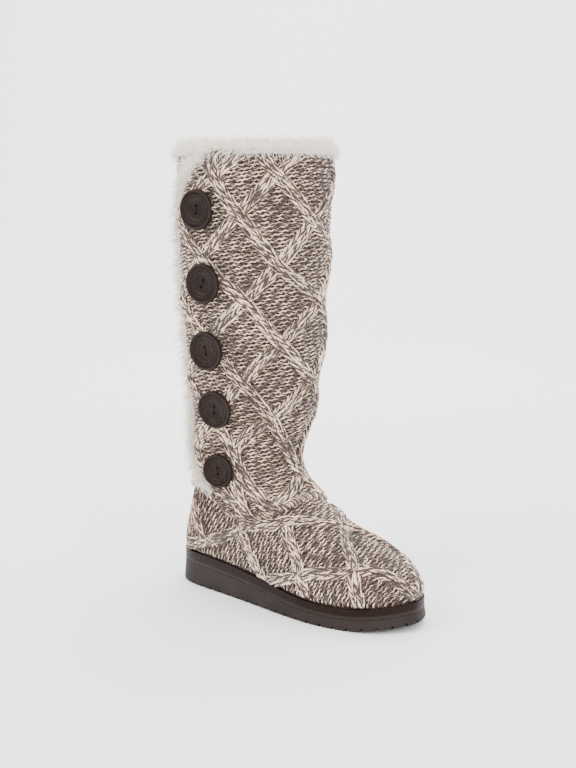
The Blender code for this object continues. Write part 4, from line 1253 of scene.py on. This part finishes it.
def make_backing(cables, material):
    """Closed shell behind the yarns, raised under the cables, stepped at the hem and the flap; its dark
    colour is painted shade.
    """
    solid = Solid()
    rows = wall_grid(200, 110, 50)
    loops = []
    for turn, ring, lift in rows:
        near = distance_to(cables, skin(turn, ring))
        ridge = (CABLE_RISE + 0.0002) * np.clip(1 - (near / CABLE_RIDGE) ** 2, 0, 1) * np.clip(ring, 0, 1)
        loops.append(solid.add(place(turn, ring, lift + ridge - BACKING_OUTSIDE)))
    base = outline(np.mod(rows[-1][0], 1.0), UPPER_INSET + 0.0004)
    base = np.column_stack([base[:, 0] - HEEL_CENTRE, base[:, 1], slab_top(base[:, 0]) + GAP])
    loops.append(solid.add(base))
    inward = place(rows[-1][0], 0.3, -BACKING_FOOT) - place(rows[-1][0], 0.3)
    inner = [solid.add(base + inward * [1, 1, 0])]
    for turn, ring, lift in rows[::-4]:
        inner.append(solid.add(place(turn, ring, -BACKING_INSIDE - GROUND_SINK * 0.5)))
    chain = loops + inner
    for low, high in zip(chain, chain[1:] + chain[:1]):
        solid.band(low, high)
    return as_piece("painted_shade_backing", solid.mesh("painted_shade_backing", 60), material, ("upper",))


def make_lining(material):
    """Closed fleece shell inside the wall, from the footbed up to the collar."""
    rng = np.random.default_rng(41)
    solid = Solid()
    count = LINING_COLUMNS
    turn = np.arange(count) / count
    rings = np.concatenate([[0.0], np.linspace(0.4, LAST_RING, 120)])
    loops = []
    for depth, rough in ((LINING_OUTSIDE, False), (LINING_INSIDE, True)):
        side = []
        for ring in rings:
            tuft = rng.normal(0, LINING_ROUGHNESS, count) if rough else 0.0
            side.append(solid.add(place(turn, np.full(count, ring), tuft - depth)))
        loops.append(side)
    chain = loops[0] + loops[1][::-1]
    for low, high in zip(chain, chain[1:] + chain[:1]):
        solid.band(low, high)
    return as_piece("fleece_lining", solid.mesh("fleece_lining"), material)


def make_footbed(material):
    """Fleece-covered insole with a soft uneven top."""
    rng = np.random.default_rng(42)
    solid = Solid()
    count = 160
    turn = np.arange(count) / count
    inset = UPPER_INSET + WALL + GAP
    loops = []
    for extra, height in ((0.0, 0.0), (0.0, 0.0036), (0.0010, 0.0050)):
        flat = outline(turn, inset + extra)
        loops.append(np.column_stack([flat[:, 0], flat[:, 1], slab_top(flat[:, 0]) + GAP + height]))
    middle = np.column_stack([loops[-1][:, 0], np.zeros(count), loops[-1][:, 2]])
    rows = [solid.add(loop - [HEEL_CENTRE, 0, 0]) for loop in loops]
    for share in (0.1, 0.22, 0.36, 0.52, 0.70, 0.88):
        ring = loops[-1] + (middle - loops[-1]) * share
        ring[:, 0] = LENGTH / 2 + (ring[:, 0] - LENGTH / 2) * (1 - 0.25 * share)
        ring[:, 2] = slab_top(ring[:, 0]) + GAP + INSOLE_THICKNESS + rng.normal(0.0002, 0.0003, count)
        rows.append(solid.add(ring - [HEEL_CENTRE, 0, 0]))
    for low, high in zip(rows[:-1], rows[1:]):
        solid.band(low, high)
    for loop in (rows[-1], rows[0]):
        for i in range(count // 2):
            quad = [loop[i], loop[i + 1], loop[(count - i - 1) % count], loop[(count - i) % count]]
            quad = [int(c) for k, c in enumerate(quad) if c != quad[k - 1]]
            if len(quad) > 2:
                solid.cap(quad)
    return as_piece("footbed", solid.mesh("footbed", 50), material, ("insole",))


def collar_strip(count):
    """Root points, outward and upward directions of the collar's pile, once round."""
    turn = np.arange(count) / count
    ring = np.full(count, float(LAST_RING))
    middle = place(turn, ring, HEM_STEP - GROUND_SINK - (WALL + HEM_STEP) / 2)
    middle[:, 2] = COLLAR_HEIGHT
    outward = look_up(grid_normal, turn, ring)
    outward[:, 2] = 0
    return middle, unit(outward), np.tile([0.0, 0.0, 1.0], (count, 1))


def placket_strip(count):
    """The same along the flap's free edge, on the back panel."""
    ring = np.linspace(PLACKET_FIRST_RING, LAST_RING - 0.05, count)
    edge = flap_edge(ring)
    points = skin(edge, ring)
    ahead = unit(np.gradient(points, axis=0))
    normal = look_up(grid_normal, edge, ring)
    beside = unit(np.cross(normal, ahead))
    back = skin(edge - 0.01, ring) - points
    beside *= np.sign((beside * back).sum(1))[:, None]
    reach = PLACKET_PILE_INSET + PLACKET_PILE_WIDTH / 2
    root = points + beside * reach + normal * (HEM_STEP - GROUND_SINK)
    sag = reach ** 2 / (2 * COLLAR_WIDTH / 2)
    return root - normal * sag, beside, normal


def pile_core(name, strip, taper, closed, form, rng, material):
    """The soft uneven roll that the hairs stand on."""
    root, beside, up = strip
    angle = np.linspace(0, math.pi, CORE_POINTS)
    lip = form["skirt"] * 3 * np.exp(-(angle / 0.5) ** 2)
    solid = Solid()
    loops = []
    for i in range(len(root)):
        tuft = rng.normal(0, 0.0005, CORE_POINTS) * np.sin(angle)
        across = form["width"] / 2 * np.cos(angle) + tuft + lip * 0.0009
        tall = form["height"] * CORE_FILL * np.sin(angle) + tuft - lip * 0.0022
        spots = root[i] + across[:, None] * beside[i] * taper[i] + tall[:, None] * up[i] * taper[i]
        loops.append(solid.add(spots))
    for low, high in zip(loops, loops[1:] + (loops[:1] if closed else [])):
        solid.band(low, high)
    if not closed:
        solid.cap(loops[0])
        solid.cap(loops[-1])
    as_piece(name, solid.mesh(name), material)


def pile_hairs(name, strip, taper, form, rng, material, tree, replaced):
    """Fine hairs that taper and lean in clumps; a share of them hangs as a skirt outside the core."""
    hairs, width, height = form["hairs"], form["width"], form["height"]
    spot = rng.uniform(0, len(taper) - 1.001, hairs)
    i = spot.astype(int)
    part = (spot - i)[:, None]
    spin = np.clip(rng.normal(0.5, 0.34, hairs), -0.16, 1.16) * math.pi
    scale = (taper[i] * (1 - part[:, 0]) + taper[i + 1] * part[:, 0])[:, None]
    centre, aside, upward = (values[i] * (1 - part) + values[i + 1] * part for values in strip)
    cos, sin = np.cos(spin), np.sin(spin)
    out = aside * cos[:, None] + upward * sin[:, None]
    start = centre + (aside * (cos * width / 2)[:, None] + upward * (sin * height * 0.6)[:, None]) * scale
    outer = rng.uniform(size=hairs) < form["skirt"]
    rise = rng.uniform(-0.0020, 0.0024, (hairs, 1))
    start[outer] = (centre + aside * (width / 2 + SKIRT_OUT) + upward * rise)[outer]
    out[outer] = unit(aside * 0.8 - upward * rng.uniform(-0.3, 0.8, (hairs, 1)))[outer]
    clump = np.floor(spot * len(taper) / CLUMP_SPACING) + np.floor(spin * 3.2) * 997
    sway = np.random.default_rng(form["seed"] + 1).normal(0, 1, (20000, 3))
    lean = sway[(clump * 37).astype(int) % 20000] * 0.40 + rng.normal(0, 0.32, (hairs, 3))
    reach = form["fluff"] * height * rng.uniform(0.40, 0.78, hairs) * np.where(outer, 0.60, 1.0)
    reach = reach[:, None] * scale
    middle = start + (out + lean * 0.4) * reach * 0.5
    droop = np.array([0.0, 0.0, -1.0]) * reach * rng.uniform(0.0, 0.35, (hairs, 1))
    end = middle + (out * 0.7 + lean) * reach * 0.5 + droop
    points = np.stack([start - out * 0.0012, middle, end], 1)
    strands = Strands()
    strands.add(points, np.array([1.0, 0.85, 0.25]), np.array([0.0, 0.5, 1.0]), rng.uniform(size=(hairs, 1)))
    strands.piece(name, tree, HAIR_RADIUS, HAIR_SIDES, material, "pile", replaced)


def make_pile(name, strip, taper, closed, form, materials, tree, replaced):
    """A roll of pile along a strip."""
    rng = np.random.default_rng(form["seed"])
    pile_core(name + "_core", strip, taper, closed, form, rng, materials["core"])
    pile_hairs(name, strip, taper, form, rng, materials["hair"], tree, replaced)


# Buttons

def button_frame(name, share, turn, hole_angle, size):
    """Middle of a button's back and its directions, turned a little forward on the lifted flap."""
    ring = float(ring_at_height(COLLAR_HEIGHT * share))
    out = look_up(grid_normal, np.array([turn]), np.array([ring]))[0]
    points = np.array([vertex.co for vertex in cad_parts[name].data.vertices])
    centre = (points.min(0) + points.max(0)) / 2
    base = centre + out * (((points - centre) @ out).min() + BUTTON_LIFT)
    swing = Matrix.Rotation(math.radians(BUTTON_SWING), 3, "Z")
    out = np.array(swing @ Vector(out))
    beside = unit(np.cross((0.0, 0.0, 1.0), out))
    upward = np.cross(out, beside)
    cos, sin = math.cos(math.radians(hole_angle)), math.sin(math.radians(hole_angle))
    return base, (beside * cos + upward * sin) * size, (upward * cos - beside * sin) * size, out


def drill_holes(blank):
    """The blank's mesh with its two holes cut; the blank and the drill are removed."""
    pins = bmesh.new()
    for side in (-1, 1):
        pin = bmesh.ops.create_cone(pins, cap_ends=True, segments=20, radius1=BUTTON_HOLE / 2,
                                    radius2=BUTTON_HOLE / 2, depth=BUTTON_THICKNESS * 3)
        bmesh.ops.translate(pins, verts=pin["verts"], vec=(0.0, side * BUTTON_HOLE_SPACING / 2, 0.0))
    drill_mesh = bpy.data.meshes.new("button_drill")
    pins.to_mesh(drill_mesh)
    pins.free()
    drill = new_object("button_drill", drill_mesh)
    cut = blank.modifiers.new("holes", "BOOLEAN")
    cut.operation = "DIFFERENCE"
    cut.object = drill
    cut.solver = "EXACT"
    depsgraph = bpy.context.evaluated_depsgraph_get()
    done = bpy.data.meshes.new_from_object(blank.evaluated_get(depsgraph))
    bpy.data.objects.remove(blank)
    bpy.data.objects.remove(drill)
    return done


def button_mesh():
    """A turned two-hole button with a broad rim, fine rings and a dished middle, lying on its back."""
    radius = BUTTON_DIAMETER / 2
    top = BUTTON_THICKNESS
    profile = (
        (0.0, 0.0), (radius - 0.0020, 0.0), (radius - 0.0006, 0.0007), (radius, 0.0019),
        (radius - 0.0003, 0.0034), (radius - 0.0011, top), (radius - 0.0022, top + 0.00015),
        (radius - 0.0031, top), (radius - 0.0035, top - 0.00045), (radius - 0.0039, top),
        (radius - 0.0052, top - 0.0001), (radius - 0.0060, top - 0.0004), (radius - 0.0066, top - 0.0011),
        (radius - 0.0074, top - 0.0012), (radius - 0.0078, top - 0.0009), (radius - 0.0084, top - 0.0009),
        (radius - 0.0089, top - 0.0013), (radius - 0.0110, top - 0.0016), (0.0, top - 0.0017),
    )
    bm = bmesh.new()
    points = [bm.verts.new((r, 0.0, z)) for r, z in profile]
    edges = [bm.edges.new(pair) for pair in zip(points[:-1], points[1:])]
    bmesh.ops.spin(bm, geom=points + edges, cent=(0, 0, 0), axis=(0, 0, 1), angle=2 * math.pi, steps=56,
                   use_merge=True, use_duplicate=False)
    bmesh.ops.remove_doubles(bm, verts=bm.verts, dist=1e-6)
    bmesh.ops.recalc_face_normals(bm, faces=bm.faces)
    blank_mesh = bpy.data.meshes.new("button_blank")
    bm.to_mesh(blank_mesh)
    bm.free()
    return drill_holes(new_object("button_blank", blank_mesh))


def add_wear_and_highlight(mesh):
    """Paler places of a button's top face, part wear and part painted highlight: its rim and the edge of its
    dish.
    """
    flat = np.array([vertex.co for vertex in mesh.vertices])
    reach = np.hypot(flat[:, 0], flat[:, 1])
    worn_highlight = np.zeros(len(flat))
    for inset, width in ((0.0016, 0.0011), (0.0081, 0.0006)):
        worn_highlight += np.exp(-((reach - (BUTTON_DIAMETER / 2 - inset)) / width) ** 2)
    wear_and_highlight = mesh.attributes.new("wear_and_highlight", "FLOAT", "POINT")
    wear_and_highlight.data.foreach_set("value", (worn_highlight * (flat[:, 2] > BUTTON_THICKNESS * 0.5)).astype(np.float32))


def make_button(name, middle, beside, upward, out, material):
    """One button at its place on the flap."""
    mesh = button_mesh()
    add_wear_and_highlight(mesh)
    axes = Matrix((beside.tolist(), upward.tolist(), out.tolist())).transposed().to_4x4()
    mesh.transform(Matrix.Translation(Vector(middle)) @ axes)
    mesh.shade_smooth()
    mesh.set_sharp_from_angle(angle=math.radians(38))
    mesh.name = name + "_resin"
    return as_piece(name + "_resin", mesh, material, (name,))


def make_threads(frames, material, tree):
    """Sewing thread from hole to hole of each button."""
    rng = np.random.default_rng(51)
    strands = Strands()
    t = np.linspace(0, 1, 11)
    climb = np.interp(t, (0, 0.2, 0.35, 0.5, 0.65, 0.8, 1),
                      (0.0003, 0.0022, 0.0028, 0.0030, 0.0028, 0.0022, 0.0003))
    cross = np.interp(t, (0, 0.2, 0.35, 0.65, 0.8, 1), (-1, -0.9, -0.6, 0.6, 0.9, 1))
    for middle, beside, upward, out in frames:
        line = middle + out * climb[:, None] + upward * (cross * BUTTON_HOLE_SPACING / 2)[:, None]
        for shift in (-THREAD_SHIFT, THREAD_SHIFT):
            strands.add((line + beside * shift)[None], 1.0, t * 0.01, rng.uniform())
    return strands.piece("button_threads", tree, THREAD_RADIUS, THREAD_SIDES, material, "marl_knit")


def make_loose_ends(button, material, tree):
    """Pale thread ends that stick out forward from under the top button."""
    rng = np.random.default_rng(52)
    strands = Strands()
    t = np.linspace(0, 1, 11)
    middle, beside, upward, out = button
    front = beside * np.sign(beside[0])
    for rise, reach, bend in ((0.0030, 0.0085, 0.0020), (0.0016, 0.0065, -0.0018), (0.0024, 0.0048, 0.0032)):
        line = (middle + front * (BUTTON_DIAMETER / 2 - 0.001 + reach * t)[:, None]
                + upward * (rise + bend * t * t)[:, None] + out * (0.0022 + 0.0010 * np.sin(3 * t))[:, None])
        strands.add(line[None], np.linspace(0.7, 0.4, len(t)), t * 0.01, rng.uniform())
    return strands.piece("loose_thread_ends", tree, THREAD_RADIUS, THREAD_SIDES, material, "marl_knit")


# Stage

BACKDROP_DIRECTION = (-0.66, 0.75, 0.0)
BACKDROP_HALF_WIDTH = 4.0
PAPER = ((0.93, 0.93, 0.93), (0.95, 0.95, 0.95))
SKY_STRENGTH = 1.5
BOOT_MIDDLE = (0.05, 0.0, 0.18)
LIGHTS = (
    ("key_light", (-0.6, -1.9, 1.9), BOOT_MIDDLE, 1.6, 60.0),
    ("fill_light", (1.9, -0.9, 1.1), BOOT_MIDDLE, 1.8, 50.0),
    ("top_light", (0.2, 0.6, 2.4), BOOT_MIDDLE, 1.6, 40.0),
    ("backdrop_light", (-0.9, 1.3, 2.6), (-2.0, 2.3, 0.6), 2.2, 120.0),
)
CAMERA_SPOT = (0.84322, -0.85462, 0.36052)
CAMERA_AIM = (-0.65725, 0.74020, -0.14189)
CAMERA_LENS = 60.2


def make_floor():
    """Pale paper that lies under the boot and sweeps up behind it."""
    direction = np.array(BACKDROP_DIRECTION)
    sideways = np.array([direction[1], -direction[0], 0.0])
    bend = np.linspace(0, math.pi / 2, 16)
    path = [(-3.0, 0.0)] + [(2.2 + math.sin(a), 1 - math.cos(a)) for a in bend] + [(3.2, 5.0)]
    sides = []
    for reach in (-BACKDROP_HALF_WIDTH, BACKDROP_HALF_WIDTH):
        sides.append([direction * d + sideways * reach + np.array([0, 0, z]) for d, z in path])
    left = np.arange(len(path))
    right = left + len(path)
    quads = np.stack([left[:-1], left[1:], right[1:], right[:-1]], -1)
    mesh = bpy.data.meshes.new("floor")
    mesh.from_pydata(np.concatenate(sides).tolist(), [], quads.tolist())
    mesh.shade_smooth()
    paper = Finish("studio_paper", Roughness=0.9)
    paper.colour(paper.mix(paper.noise(2.0), *PAPER))
    mesh.materials.append(paper.material)
    new_object("floor", mesh)


def make_lights():
    """A bright even surround and four soft lamps."""
    world = bpy.data.worlds.new("studio")
    world.use_nodes = True
    background = world.node_tree.nodes["Background"]
    background.inputs["Color"].default_value = (1.0, 1.0, 1.0, 1.0)
    background.inputs["Strength"].default_value = SKY_STRENGTH
    bpy.context.scene.world = world
    for name, spot, target, size, power in LIGHTS:
        data = bpy.data.lights.new(name, "AREA")
        data.size = size
        data.energy = power
        light = new_object(name, data)
        light.location = spot
        light.rotation_euler = (Vector(target) - Vector(spot)).to_track_quat("-Z", "Y").to_euler()


def make_camera():
    """The photograph's view."""
    data = bpy.data.cameras.new("camera")
    data.sensor_width = 36.0
    data.lens = CAMERA_LENS
    data.clip_start = 0.05
    data.clip_end = 50.0
    camera = new_object("camera", data)
    camera.location = CAMERA_SPOT
    camera.rotation_euler = Vector(CAMERA_AIM).to_track_quat("-Z", "Y").to_euler()
    bpy.context.scene.camera = camera


# The boot

def make_wall(falling, rising, foot):
    """The solid layers of the boot's wall: knit backing dark as painted shade, lining and footbed."""
    fleece = fleece_finish("fleece_pile", 420.0)
    make_backing(tree_of(falling + rising + foot), backing_finish())
    make_lining(fleece)
    make_footbed(fleece)


def make_knit(tree, falling, rising, foot):
    """Ground rows, cables and rolled edges."""
    # ground and cables share one marl yarn: the ground's copy is darker as painted shade, the cables' paler
    # as painted light
    yarn = marl_finish("marl_ground_shaded", GROUND_PALENESS_SHADED)
    lit_cable_yarn = marl_finish("marl_cable_lit", CABLE_PALENESS_LIT)
    upper_rows, lower_rows = shaft_rows(tree_of(falling + rising))
    for name, strands, material in (
        ("shaft_rows_upper", upper_rows, yarn),
        ("shaft_rows_lower", lower_rows, yarn),
        ("foot_rows", foot_rows(tree_of(foot)), yarn),
        ("shaft_cables_falling", lay_cables(falling, shaft_lift, 1, 22), lit_cable_yarn),
        ("shaft_cables_rising", lay_cables(rising, shaft_lift, -1, 21), lit_cable_yarn),
        ("foot_cables", lay_cables(foot, foot_lift, 0, 23), lit_cable_yarn),
        ("rolled_edges", rolled_edges(), yarn),
    ):
        strands.piece(name, tree, YARN_RADIUS, YARN_SIDES, material, "marl_knit")


def make_fur(tree):
    """The pile along the collar and along the flap's edge."""
    pile = {"core": fleece_finish("pile_core", 520.0), "hair": hair_finish()}
    make_pile("collar_fur", collar_strip(240), np.ones(240), True, COLLAR_PILE, pile, tree, ("fur_collar",))
    taper = 0.35 + 0.65 * ease(np.arange(200) / 20)
    make_pile("placket_fur", placket_strip(200), taper, False, PLACKET_PILE, pile, tree, ("fur_placket",))


def make_buttons(tree):
    """The five buttons with their thread."""
    resin = button_finish()
    frames = []
    rows = zip(*BUTTONS.values(), HOLE_ANGLES, BUTTON_SHARES)
    for number, (share, turn, angle, size) in enumerate(rows, 1):
        name = f"button_{number}"
        frames.append(button_frame(name, share, turn, angle, size))
        make_button(name, *frames[-1], resin)
    make_threads(frames, thread_finish("sewing_thread", *SEWING_THREAD), tree)
    make_loose_ends(frames[0], thread_finish("loose_thread", *LOOSE_THREAD), tree)


def dress_rubber():
    """Finishes for the two rubber solids, which keep their own shape."""
    for name, material, slot in (("outsole", sole_finish(), "sole_rubber"),
                                 ("midsole", rand_finish(), "rand_rubber")):
        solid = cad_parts[name]
        solid.data.materials.clear()
        solid.data.materials.append(material)


tube = tube_tree()
cables = shaft_routes(False), shaft_routes(True), foot_routes()
make_wall(*cables)
make_knit(tube, *cables)
make_fur(tube)
make_buttons(tube)
dress_rubber()
make_floor()
make_lights()
make_camera()
